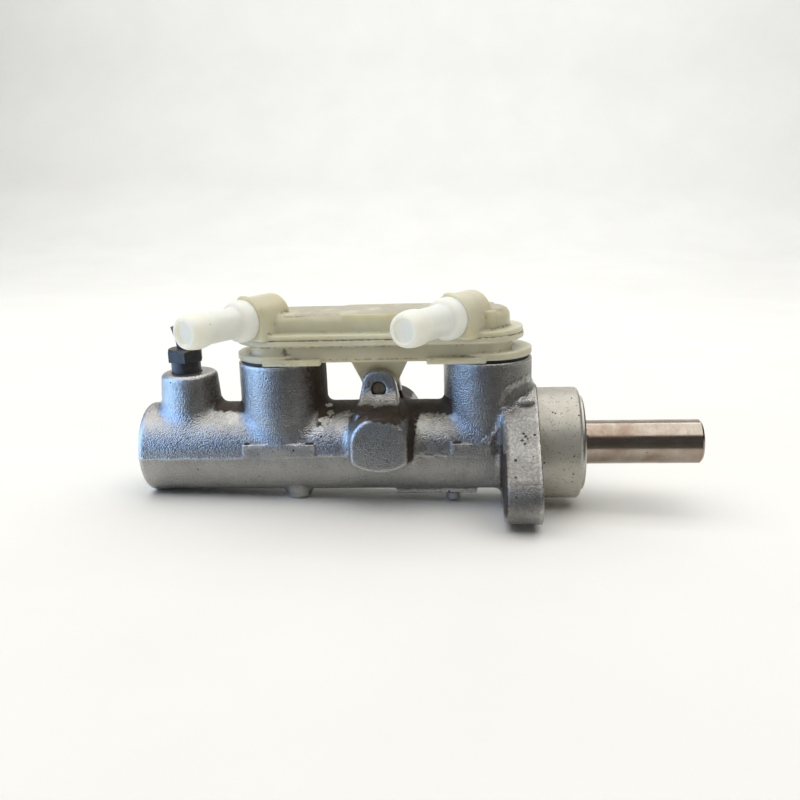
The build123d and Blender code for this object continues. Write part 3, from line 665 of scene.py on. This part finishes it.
def soft_box(x0, x1, half, corner, z0, z1, edge=0.0):
    """Box with rounded vertical corners."""
    cx, hx = (x0 + x1) / 2, (x1 - x0) / 2
    def shape(x, y, z):
        qx = np.abs(x - cx) - hx + corner
        qy = np.abs(y) - half + corner + 0 * x
        outline = np.hypot(np.maximum(qx, 0), np.maximum(qy, 0)) - corner
        outline = outline + np.minimum(np.maximum(qx, qy), 0)
        return round_max(outline, np.maximum(z0 - z, z - z1) + 0 * outline, edge)
    return shape


NIPPLE_Z = 54.0
LEAN = math.radians(30.5)
TO_TIP = (-math.sin(LEAN), -math.cos(LEAN), 0.0)
NIPPLES = {"front": (-111.4, -15.1), "rear": (-33.2, -18.3)}


def nipple_frame(origin, x, y):
    """Distances along a nipple's axis, toward its tip, and across it."""
    dx, dy = x - origin[0], y - origin[1]
    return dx * TO_TIP[0] + dy * TO_TIP[1], dx * TO_TIP[1] - dy * TO_TIP[0]


def along_nipple(origin, start, end, r):
    """Solid rod on a nipple's axis, from start to end toward the tip."""
    def shape(x, y, z):
        t, w = nipple_frame(origin, x, y)
        radial = np.hypot(w, z - NIPPLE_Z) - r
        return np.maximum(radial, np.maximum(start - t, t - end))
    return shape


def housing(origin, length, r):
    """Arched block behind a nipple: round on top, straight down to the weld face."""
    def shape(x, y, z):
        t, w = nipple_frame(origin, x, y)
        above = np.maximum(z - NIPPLE_Z, 0)
        radial = np.hypot(w, above) - r
        ends = np.maximum(t, -length - t)
        body = round_max(radial, ends + 0 * radial, 0.8)
        return round_max(body, 46.1 - z + 0 * body, 0)
    return shape


def build_union_base():
    pitch = 0.36
    f = Field((-119.6, -18.8, 23.6), (-2.0, 18.8, 47.2), pitch)
    f.add((-112, -16, 37), (-9, 16, 46), soft_box(-111.9, -9.8, 15.5, 8.5, 37.2, 46.0, 0.35))
    f.add((-119, -18, 43), (-4, 18, 46), stadium(-118.3, -4.9, 17.4, 43.8, 46.0, 0.15, 0.7), 0.8)
    for x in (FRONT_X, REAR_X):
        f.add((x - 18, -18, 37), (x + 18, 18, 40), post_z(x, 0, 37.2, 40.0, 17.3, 17.3, 0.5), 0.8)
    for x in (-94.0, -31.0):
        for side in (-1, 1):
            f.add(
                (x - 12, side * 16 - 2, 36),
                (x + 12, side * 16 + 2, 39),
                brick(x, side * 15.9, 37.45, 11.2, 1.7, 1.15, 0.25),
                0.3,
            )
    for x in (FRONT_X, REAR_X):
        f.cut((x - 17, -17, 35), (x + 17, 17, 37.2), post_z(x, 0, 34, 37.2, 16.4, 16.4))
        f.add((x - 7, -7, 28), (x + 7, 7, 38), post_z(x, 0, 28, 38.5, 7.0, 7.0, 0.5))
    f.add((-75, -4, 18), (-49, 4, 38), tab, 0.8)
    f.cut((-110, -14, 39), (-11, 14, 50), soft_box(-109.9, -11.8, 13.5, 6.5, 39.4, 50.0, 0.8))
    for x in (FRONT_X, REAR_X):
        f.cut((x - 5, -5, 27), (x + 5, 5, 43), post_z(x, 0, 27, 43, 4.6, 4.6))
    f.cut((-65, -5, 21), (-58, 5, 29), post_y(LUG_X, PIN_Z, -5, 5, PIN_HOLE_R))
    return f


def tab(x, y, z):
    """Tapered tongue with a round eye at its foot."""
    dx = np.abs(x - LUG_X)
    taper = (dx - (6.4 + (z - PIN_Z) * 0.49)) * 0.9
    body = np.maximum(taper, np.maximum(PIN_Z - z, z - 38.0))
    eye = np.hypot(dx, z - PIN_Z) - 6.4
    return round_max(np.minimum(body, eye), np.abs(y) - 3.5, 0.4)


def build_union_cover():
    pitch = 0.36
    f = Field((-125.0, -25.4, 45.2), (-2.0, 18.6, 63.6), pitch)
    f.add((-110, -13, 46), (-10, 13, 56), stadium(-110.0, -10.2, 12.8, 46.05, 55.4, 3.2))
    f.add((-76, -13, 47), (-16, 13, 56), soft_box(-76.0, -16.0, 12.8, 2.5, 47.0, 55.4, 0.3), 0.3)
    f.add((-119, -18, 46), (-4, 18, 49), stadium(-118.0, -5.2, 17.0, 46.05, 48.2, 0.5, 0.1), 0.7)
    for origin in NIPPLES.values():
        f.add(
            (origin[0] - 14, origin[1] - 8, 46),
            (origin[0] + 20, origin[1] + 22, 63),
            housing(origin, 17.0, 8.6),
            1.2,
        )
        nib = nub(origin[0] - 0.2, origin[1] + 1.6, 62.3, 2.2, 1.0, 1.0)
        f.add((origin[0] - 4, origin[1] - 2, 60), (origin[0] + 4, origin[1] + 4, 64), nib, 0.5)
    for origin in NIPPLES.values():
        f.cut(
            (origin[0] - 14, origin[1] - 14, 46),
            (origin[0] + 10, origin[1] + 8, 63),
            along_nipple(origin, -0.02, 8.0, 8.2),
        )
        f.cut(
            (origin[0] - 5, origin[1] - 5, 48),
            (origin[0] + 12, origin[1] + 16, 60),
            along_nipple(origin, -13.0, 2.0, 4.3),
        )
    f.cut((-108, -11, 45), (-12, 11, 54), stadium(-108.0, -12.2, 10.8, 44.0, 53.4, 2.0))
    return f


# Dirty places on the union: x, y, z, half sizes along x and z, strength
SMUDGES = (
    (-96.5, -15.5, 41.5, 2.2, 2.6, 0.8), (-60.0, -15.5, 38.3, 44.0, 0.45, 0.6),
    (-93.0, -11.0, 54.6, 14.0, 0.5, 0.6), (-70.0, -12.8, 47.6, 40.0, 0.35, 0.5),
    (-92.0, -16.0, 37.0, 12.0, 0.3, 0.6), (-24.0, -9.0, 57.0, 2.2, 1.0, 0.6),
    (-40.0, -12.6, 60.5, 2.5, 1.2, 0.6), (-14.0, -6.0, 54.5, 5.0, 1.4, 0.4),
)


def union_piece(name, field, seam_z, replaced):
    """Meshes one half of the union and paints its dirt and film."""
    verts, faces = field.surface()
    normals = field.normals(verts)
    verts = verts + normals * (0.03 * lattice_noise(verts, 6.0, 31))[:, None]
    x, _, z = verts.T
    hollow = ramp(-field.bend(verts, 1.2), 0.02, 0.45)
    rough = 0.5 * lattice_noise(verts, 5.5, 33) + 0.7 * lattice_noise(verts, 1.1, 34)
    fine = lattice_noise(verts, 0.7, 35)
    seam = np.exp(-(((z - seam_z - 0.1 * fine) / 0.20) ** 2))
    dirt = 0.62 * hollow * ramp(rough, -0.5, 0.9) + 0.85 * seam * ramp(rough, -1.0, 0.6)
    for *spot, half_x, half_z, strength in SMUDGES:
        away = away_from(verts, spot, (half_x, 4.0, half_z))
        dirt = np.maximum(dirt, strength * ramp(1.0 - away + 0.4 * fine + 0.3 * rough, 0.0, 0.8))
    dirt = np.clip(dirt, 0, 1)
    cloud = lattice_noise(verts, 8.0, 36) + 0.5 * rough
    walls = 0.55 * ramp(z, 36.5, 38.5) * ramp(44.6 - z, 0, 2.0) * ramp(x, -104, -97)
    above = 0.80 * ramp(normals[:, 2], 0.5, 0.9) * ramp(cloud, -1.5, 0.3) * ramp(z, 47, 52) * (z < 59)
    film = np.clip(np.maximum(walls * (0.8 + 0.2 * cloud), above), 0, 1)
    obj = mesh_object(name, verts, faces, {"dirt": dirt, "film": film})
    place(obj, "housing", replaced, "aged_nylon")


union_piece("union_lower_moulding", build_union_base(), 46.0, "union_base")
union_piece("union_upper_moulding", build_union_cover(), 46.1, "union_cover")


def nipple(name, origin, replaced):
    """Hose nipple with a domed collar, a bead and a shallow disc inside its end."""
    tip = 30.5
    outline = [
        (0.05, 4.3), (0.05, 7.9), (0.5, 8.1), (2.4, 8.1), (3.9, 7.85), (5.1, 7.35), (5.9, 6.7),
        (6.3, 6.15), (6.9, 5.98), (10.0, 5.95), (14.0, 5.92), (tip - 11.2, 5.95), (tip - 10.2, 6.1),
        (tip - 8.8, 6.5), (tip - 7.4, 6.7), (tip - 5.0, 6.7), (tip - 3.0, 6.5),
        (tip - 1.5, 6.2), (tip - 0.5, 5.8), (tip - 0.05, 5.3), (tip, 4.75), (tip - 0.05, 4.45),
        (tip - 0.6, 4.32), (tip - 1.2, 4.3), (tip - 1.25, 4.1), (tip - 1.1, 2.0), (tip - 1.1, 0.0),
        (tip - 2.6, 0.0), (tip - 2.6, 4.2), (15.0, 4.3),
    ]
    obj = lathe(name, outline, (origin[0], origin[1], NIPPLE_Z), TO_TIP, segments=72)
    sub = obj.modifiers.new("round", "SUBSURF")
    sub.levels = 1
    sub.render_levels = 1
    place(obj, "housing", replaced, "white_nylon")


# The brake pipe's lean to the left at each height
PIPE_PATH = ((0.0, 30.0), (0.0, 38.5), (-0.4, 41.5), (-1.3, 45.5), (-2.7, 50.3))


def pipe_stub():
    """Short brake pipe that leans out of its nut, with a cut end."""
    bore, outside, n = 1.6, 2.4, 40
    rings = []
    path = [(HOLE_X + lean, 0, z) for lean, z in PIPE_PATH]
    for i, spot in enumerate(path):
        low, high = Vector(path[max(i - 1, 0)]), Vector(path[min(i + 1, len(path) - 1)])
        along = (high - low).normalized()
        side = along.cross(Vector((0, 1, 0))).normalized()
        if i == 0:
            radii = (bore, outside)
        elif i == len(path) - 1:
            radii = (outside, bore)
        else:
            radii = (outside,)
        for r in radii:
            rings.append([
                tuple(Vector(spot) + r * (math.cos(a) * side + math.sin(a) * Vector((0, 1, 0))))
                for a in np.linspace(0, 2 * math.pi, n, endpoint=False)
            ])
    verts = np.array([v for ring in rings for v in ring])
    obj = mesh_object("pipe_stub", verts, ring_quads(len(rings), n))
    face_outward(obj)
    place(obj, "housing", "brake_pipe_stub", "black_steel")


pipe_stub()
nipple("front_nipple", NIPPLES["front"], "front_hose_nipple")
nipple("rear_nipple", NIPPLES["rear"], "rear_hose_nipple")


# ---- springs
def coil(name, start, length, replaced, body):
    """Compression spring with closed ends."""
    wire, mean_r, turns = 1.1, 8.4, 6.0
    steps, ring = 360, 12
    t = np.linspace(0, 1, steps + 1)
    angle = t * turns * 2 * math.pi
    centre = np.stack([
        start + wire + t * (length - 2 * wire), mean_r * np.cos(angle), mean_r * np.sin(angle)
    ], 1)
    tangent = np.gradient(centre, axis=0)
    tangent /= np.linalg.norm(tangent, axis=1)[:, None]
    out = np.stack([0 * t, np.cos(angle), np.sin(angle)], 1)
    side = np.cross(tangent, out)
    turn = np.linspace(0, 2 * math.pi, ring, endpoint=False)
    verts = (
        centre[:, None, :]
        + wire * np.cos(turn)[None, :, None] * out[:, None, :]
        + wire * np.sin(turn)[None, :, None] * side[:, None, :]
    ).reshape(-1, 3)
    obj = mesh_object(name, verts, ring_quads(steps + 1, ring, closed=False))
    face_outward(obj, close=True)
    place(obj, body, replaced, "spring_steel")
    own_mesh(obj)


coil("front_coil", -149.8, 39.5, "secondary_spring", "housing")
coil("rear_coil", -69.0, 41.0, "primary_spring", "secondary")


# ---- materials
def fill(shader_node, inputs):
    """Links the sockets among the inputs and sets the plain values."""
    for key, value in inputs.items():
        if isinstance(value, bpy.types.NodeSocket):
            shader_node.id_data.links.new(value, shader_node.inputs[key])
        else:
            shader_node.inputs[key].default_value = value


def material(name):
    m = bpy.data.materials.new(name)
    m.use_nodes = True
    return m, m.node_tree, m.node_tree.nodes["Principled BSDF"]


def node(tree, kind, inputs, **props):
    n = tree.nodes.new(kind)
    for key, value in props.items():
        setattr(n, key, value)
    fill(n, inputs)
    return n


def coords(tree, scale=(1, 1, 1)):
    tc = node(tree, "ShaderNodeTexCoord", {})
    mapping = node(tree, "ShaderNodeMapping", {"Vector": tc.outputs["Object"], "Scale": scale})
    return mapping.outputs["Vector"]


def noise(tree, vector, scale, detail=3.0, roughness=0.55):
    n = node(
        tree,
        "ShaderNodeTexNoise",
        {"Vector": vector, "Scale": scale, "Detail": detail, "Roughness": roughness},
    )
    return n.outputs["Fac"]


def curve(tree, value, low, high, out_low=0.0, out_high=1.0):
    """Maps low to out_low and high to out_high, and stops there."""
    span = {"From Min": low, "From Max": high, "To Min": out_low, "To Max": out_high}
    return node(tree, "ShaderNodeMapRange", {"Value": value, **span}).outputs["Result"]


def mix(tree, factor, a, b):
    """Colour a where the factor is 0 and b where it is 1."""
    return node(tree, "ShaderNodeMix", {0: factor, 6: a, 7: b}, data_type="RGBA").outputs[2]


def add(tree, a, b):
    return node(tree, "ShaderNodeMath", {0: a, 1: b}, operation="ADD").outputs[0]


def times(tree, a, b):
    return node(tree, "ShaderNodeMath", {0: a, 1: b}, operation="MULTIPLY").outputs[0]


def attribute(tree, name):
    return node(tree, "ShaderNodeAttribute", {}, attribute_name=name).outputs["Fac"]


def cells(tree, vector, scale):
    """Distance to the nearest point of a scattered pattern."""
    return node(tree, "ShaderNodeTexVoronoi", {"Vector": vector, "Scale": scale}).outputs["Distance"]


def specks(tree, vector, scale, edge, core, chosen):
    """Small dots, kept where chosen is 1."""
    return times(tree, curve(tree, cells(tree, vector, scale), edge, core), chosen)


def bump(tree, height, strength, distance, normal=None):
    inputs = {"Height": height, "Strength": strength, "Distance": distance}
    if normal is not None:
        inputs["Normal"] = normal
    return node(tree, "ShaderNodeBump", inputs).outputs["Normal"]


def cast_alloy():
    """Die-cast skin with fine pebbles, bright scuffs and painted highlights, and brown dirt with painted
    shade.
    """
    m, tree, shader = material("cast_alloy")
    v = coords(tree)
    tint = curve(tree, noise(tree, v, 45, 4), 0.3, 0.7)
    base = mix(tree, tint, (0.285, 0.281, 0.267, 1), (0.40, 0.394, 0.373, 1))
    blotch = curve(tree, noise(tree, v, 160, 4, 0.65), 0.50, 0.70)
    base = mix(tree, times(tree, blotch, 0.35), base, (0.15, 0.14, 0.115, 1))
    pebbles = curve(tree, cells(tree, v, 1650.0), 0.1, 0.75, 1.0, 0.0)
    base = mix(tree, times(tree, pebbles, 0.34), base, (0.56, 0.56, 0.55, 1))
    # Pale places, lightened further by the painted highlight and floor reflection
    sparkle = times(tree, attribute(tree, "pale_and_highlight"), curve(tree, pebbles, 0.0, 0.9, 0.45, 1.0))
    base = mix(tree, sparkle, base, (0.69, 0.67, 0.63, 1))
    chosen = curve(tree, noise(tree, v, 60, 2), 0.52, 0.58)
    speck = specks(tree, v, 260.0, 0.13, 0.08, chosen)
    base = mix(tree, speck, base, (0.04, 0.032, 0.024, 1))
    dirt_edge = noise(tree, v, 900, 3, 0.7)
    # Brown dirt together with the painted shade in corners, on the bosses' far sides and on front faces
    grime_and_shade = add(tree, attribute(tree, "grime_and_shade"), times(tree, dirt_edge, 0.7))
    grime_and_shade = curve(tree, grime_and_shade, 0.45, 1.05)
    brown = mix(tree, noise(tree, v, 240, 3), (0.020, 0.013, 0.008, 1), (0.085, 0.058, 0.036, 1))
    base = mix(tree, grime_and_shade, base, brown)
    metal = curve(tree, grime_and_shade, 0.0, 1.0, 0.95, 0.3)
    rough = curve(tree, noise(tree, v, 300, 3), 0.3, 0.7, 0.27, 0.39)
    rough = add(tree, rough, times(tree, grime_and_shade, 0.30))
    soft = noise(tree, v, 900, 2, 0.5)
    relief = bump(tree, pebbles, 1.0, 0.00011, bump(tree, soft, 0.14, 0.0002))
    fill(shader, {"Base Color": base, "Metallic": metal, "Roughness": rough, "Normal": relief})
    return m


def turned_metal(name, light, dark, roughness, lines, speckle, metallic=1.0):
    """Machined metal: lines round the bore axis, stains and small dark specks."""
    m, tree, shader = material(name)
    v = coords(tree)
    along = coords(tree, (1, 0.03, 0.03))
    streak = noise(tree, along, 2600, 3, 0.6)
    cloud = curve(tree, noise(tree, v, 90, 4, 0.6), 0.35, 0.7)
    base = mix(tree, cloud, light, dark)
    base = mix(tree, times(tree, curve(tree, streak, 0.45, 0.8), 0.25), base, dark)
    chosen = curve(tree, noise(tree, v, 75, 3), 0.62 - speckle, 0.70 - speckle)
    speck = specks(tree, v, 330.0, 0.16, 0.08, chosen)
    base = mix(tree, speck, base, (0.07, 0.055, 0.04, 1))
    dust = curve(tree, noise(tree, v, 1150, 2), 0.60, 0.68, 0.0, min(1.9 * speckle, 1.0))
    base = mix(tree, dust, base, (0.17, 0.145, 0.11, 1))
    rough = curve(tree, cloud, 0.0, 1.0, roughness - 0.04, roughness + 0.08)
    rough = add(tree, rough, times(tree, speck, 0.4))
    relief = bump(tree, streak, lines, 0.00006)
    fill(shader, {"Base Color": base, "Metallic": metallic, "Roughness": rough, "Normal": relief})
    return m


def nylon(name, clear, aged, dirt_colour, subsurface, aged_share, glow):
    """Milky plastic with dirt along its seams, stains and a few specks."""
    m, tree, shader = material(name)
    fill(shader, {"IOR": 1.5, "Subsurface Weight": subsurface, "Subsurface Scale": 0.009})
    fill(shader, {"Subsurface Radius": (1.0, 0.8, 0.45)})
    # Painted glow: a faint emission that stands in for light carried through the milky wall
    fill(shader, {"Emission Color": clear, "Emission Strength": glow})
    v = coords(tree)
    cloud = curve(tree, noise(tree, v, 38, 3, 0.6), 0.35, 0.65)
    base = mix(tree, times(tree, cloud, aged_share), clear, aged)
    stain = curve(tree, noise(tree, v, 150, 4, 0.7), 0.60, 0.75)
    base = mix(tree, times(tree, stain, 0.25), base, dirt_colour)
    chosen = curve(tree, noise(tree, v, 40, 2), 0.55, 0.6)
    dot = specks(tree, v, 170.0, 0.055, 0.03, chosen)
    base = mix(tree, dot, base, (0.10, 0.07, 0.04, 1))
    base = mix(tree, times(tree, attribute(tree, "film"), 0.8), base, (0.27, 0.235, 0.155, 1))
    edge_noise = noise(tree, v, 700, 3, 0.7)
    dirt = add(tree, attribute(tree, "dirt"), times(tree, edge_noise, 0.5))
    dirt = curve(tree, dirt, 0.48, 1.0)
    base = mix(tree, times(tree, dirt, 0.8), base, (0.12, 0.085, 0.045, 1))
    rough = curve(tree, noise(tree, v, 260, 3), 0.3, 0.7, 0.28, 0.46)
    relief = bump(tree, noise(tree, v, 480, 3), 0.12, 0.0003)
    fill(shader, {"Base Color": base, "Roughness": rough, "Normal": relief})
    return m


def plain_finish(name, light, dark, metallic, roughness, scale=200, grain=0.15):
    """Even finish with cloudy colour and a fine grain."""
    m, tree, shader = material(name)
    v = coords(tree)
    base = mix(tree, curve(tree, noise(tree, v, scale, 4, 0.6), 0.35, 0.68), light, dark)
    rough = curve(tree, noise(tree, v, scale * 2.3, 3), 0.3, 0.7, roughness - 0.06, roughness + 0.1)
    relief = bump(tree, noise(tree, v, scale * 6, 3), grain, 0.0001)
    fill(shader, {"Base Color": base, "Metallic": metallic, "Roughness": rough, "Normal": relief})
    return m


# Light and dark colour, metallic, roughness, and for some a scale and a grain
PLAIN_FINISHES = {
    "plated_steel": ((0.50, 0.50, 0.49, 1), (0.30, 0.30, 0.29, 1), 0.95, 0.36),
    "spring_steel": ((0.26, 0.26, 0.27, 1), (0.14, 0.14, 0.14, 1), 0.95, 0.34),
    "rusty_steel": ((0.22, 0.17, 0.11, 1), (0.09, 0.055, 0.03, 1), 0.55, 0.55, 420, 0.5),
    "black_steel": ((0.030, 0.031, 0.033, 1), (0.060, 0.056, 0.050, 1), 0.35, 0.40, 260, 0.3),
    "seat_brass": ((0.62, 0.46, 0.21, 1), (0.45, 0.32, 0.14, 1), 1.0, 0.30),
    "bush_bronze": ((0.47, 0.34, 0.17, 1), (0.33, 0.23, 0.11, 1), 0.9, 0.48, 500, 0.4),
    "black_rubber": ((0.018, 0.018, 0.018, 1), (0.035, 0.034, 0.032, 1), 0.0, 0.62, 300, 0.3),
}
MATERIALS = {name: plain_finish(name, *values) for name, values in PLAIN_FINISHES.items()}
MATERIALS["cast_alloy"] = cast_alloy()
MATERIALS["ground_steel"] = turned_metal(
    "ground_steel", (0.42, 0.375, 0.32, 1), (0.25, 0.18, 0.135, 1), 0.21, 0.10, 0.05
)
MATERIALS["piston_alloy"] = turned_metal(
    "piston_alloy", (0.56, 0.55, 0.52, 1), (0.42, 0.40, 0.36, 1), 0.34, 0.25, 0.04
)
MATERIALS["aged_nylon"] = nylon(
    "aged_nylon", (0.70, 0.68, 0.53, 1), (0.57, 0.52, 0.35, 1), (0.30, 0.26, 0.16, 1), 0.6, 0.8, 0.02
)
MATERIALS["white_nylon"] = nylon(
    "white_nylon", (0.90, 0.89, 0.79, 1), (0.86, 0.84, 0.70, 1), (0.55, 0.53, 0.42, 1), 0.7, 0.6, 0.09
)
SPIGOT_METAL = turned_metal(
    "spigot_metal", (0.52, 0.50, 0.44, 1), (0.42, 0.40, 0.34, 1), 0.42, 0.45, 0.30, 0.55
)

slot_of = {s["node"]: s["material_slot"] for s in frame["record"]["subparts"]}
for name, obj in nodes.items():
    obj.data.materials.clear()
    obj.data.materials.append(MATERIALS[slot_of[name]])
for obj, slot in placed:
    obj.data.materials.append(SPIGOT_METAL if obj is spigot else MATERIALS[slot])


for name in ("flare_nut", "reservoir_pin", "ledge_pin", "primary_piston", "piston_guide"):
    bevelled(nodes[name], 0.25, 35)


# ---- floor and light
def floor_height(x, y):
    """Height of the table, which runs through the leaning object's lowest points."""
    return -18.2 - 0.042 * (x + 155.0) - 0.045 * y


# The sweep behind the table: y, and rise above the table's far row
BACKDROP = ((1300, 40), (1550, 150), (1700, 400), (1760, 900), (1780, 2000))


def sheet(name, xs, rows):
    """Staged sheet from rows of y and the heights at each x."""
    bm = bmesh.new()
    grid = [[bm.verts.new((x * MM, y * MM, z * MM)) for x, z in zip(xs, heights)] for y, heights in rows]
    for low, high in zip(grid, grid[1:]):
        for i in range(len(xs) - 1):
            bm.faces.new((low[i], low[i + 1], high[i + 1], high[i]))
    me = bpy.data.meshes.new(name)
    bm.to_mesh(me)
    bm.free()
    obj = bpy.data.objects.new(name, me)
    bpy.context.scene.collection.objects.link(obj)
    return obj


def table():
    """Table around the object that sweeps up into a backdrop far behind."""
    xs = np.linspace(-2200, 2200, 9)
    rows = [(y, floor_height(xs, y)) for y in (-700, -400, -200, 0, 200, 400, 700, 1000)]
    rows += [(y, floor_height(xs, 1000) + rise) for y, rise in BACKDROP]
    obj = sheet("table", xs, rows)
    for p in obj.data.polygons:
        p.use_smooth = True
    m, tree, shader = material("table_top")
    faint = curve(tree, noise(tree, coords(tree), 9, 3), 0.3, 0.7)
    base = mix(tree, faint, (0.90, 0.895, 0.865, 1), (0.93, 0.925, 0.90, 1))
    fill(shader, {"Base Color": base, "Roughness": 0.8, "Specular IOR Level": 0.0})
    obj.data.materials.append(m)


table()


def reflected_card(name, xs, profile, colour, glow):
    """Sheet seen only in reflections; profile is y and height above the table."""
    xs = np.array(xs, float)
    obj = sheet(name, xs, [(y, floor_height(xs, y) + rise) for y, rise in profile])
    m, _, shader = material(name)
    fill(shader, {"Base Color": (0.02, 0.02, 0.02, 1), "Roughness": 0.9})
    fill(shader, {"Emission Color": colour, "Emission Strength": glow})
    obj.data.materials.append(m)
    obj.visible_camera = False
    obj.visible_diffuse = False
    obj.visible_shadow = False
    obj.visible_transmission = False


reflected_card(
    "dark_card", (-1100, 0, 1100), ((-58, 3), (-750, 3), (-780, 440)), (1.0, 0.98, 0.93, 1), 0.08
)
# Stands in for the window mirrored in the table to the left
reflected_card("window_sheen", (-1000, -215), ((-450, 6), (70, 6)), (0.42, 0.66, 1.0, 1), 3.6)


def area_light(name, position, target, width, height, power, colour, diffuse=True):
    data = bpy.data.lights.new(name, "AREA")
    data.shape = "RECTANGLE"
    data.size = width
    data.size_y = height
    data.energy = power
    data.color = colour
    obj = bpy.data.objects.new(name, data)
    obj.location = position
    obj.rotation_mode = "QUATERNION"
    obj.rotation_quaternion = (Vector(target) - Vector(position)).to_track_quat("-Z", "Y")
    obj.visible_diffuse = diffuse
    bpy.context.scene.collection.objects.link(obj)


CENTRE = (-0.05, 0.0, 0.01)
area_light("ceiling", (0.0, -0.10, 1.10), (0.0, -0.10, 0.0), 2.3, 1.8, 22.5, (1.0, 0.985, 0.955))
area_light("window", (-0.85, -0.30, 0.28), CENTRE, 1.3, 0.60, 10.0, (0.27, 0.50, 1.0), False)
area_light("window_glow", (-0.85, -0.22, 0.40), CENTRE, 1.3, 0.75, 0.7, (0.45, 0.65, 1.0))
area_light("backdrop_wash", (0.0, 1.0, 1.3), (0.0, 1.7, 0.3), 2.5, 0.6, 14.0, (0.97, 0.985, 1.0))

world = bpy.data.worlds.new("room")
world.use_nodes = True
fill(world.node_tree.nodes["Background"], {"Color": (1.0, 0.985, 0.95, 1), "Strength": 0.06})
bpy.context.scene.world = world
bpy.context.scene.view_settings.view_transform = "Standard"


# ---- camera
def place_camera():
    """The photo's camera, fitted to the object's edges."""
    yaw, pitch, roll = math.radians(4.906), math.radians(14.352), math.radians(-1.897)
    forward = Vector((
        -math.sin(yaw) * math.cos(pitch), math.cos(yaw) * math.cos(pitch), -math.sin(pitch)
    ))
    level = Vector((math.cos(yaw), math.sin(yaw), 0))
    lift = level.cross(forward)
    right = math.cos(roll) * level + math.sin(roll) * lift
    up = -math.sin(roll) * level + math.cos(roll) * lift
    data = bpy.data.cameras.new("camera")
    data.sensor_width = 36.0
    data.lens = 39.966
    data.clip_start = 0.01
    data.clip_end = 50.0
    obj = bpy.data.objects.new("camera", data)
    spot = Matrix((right, up, -forward)).transposed().to_4x4()
    spot.translation = Vector((-0.02459, -0.344694, 0.106725))
    obj.matrix_world = spot
    bpy.context.scene.collection.objects.link(obj)
    bpy.context.scene.camera = obj


place_camera()

bpy.context.view_layer.update()
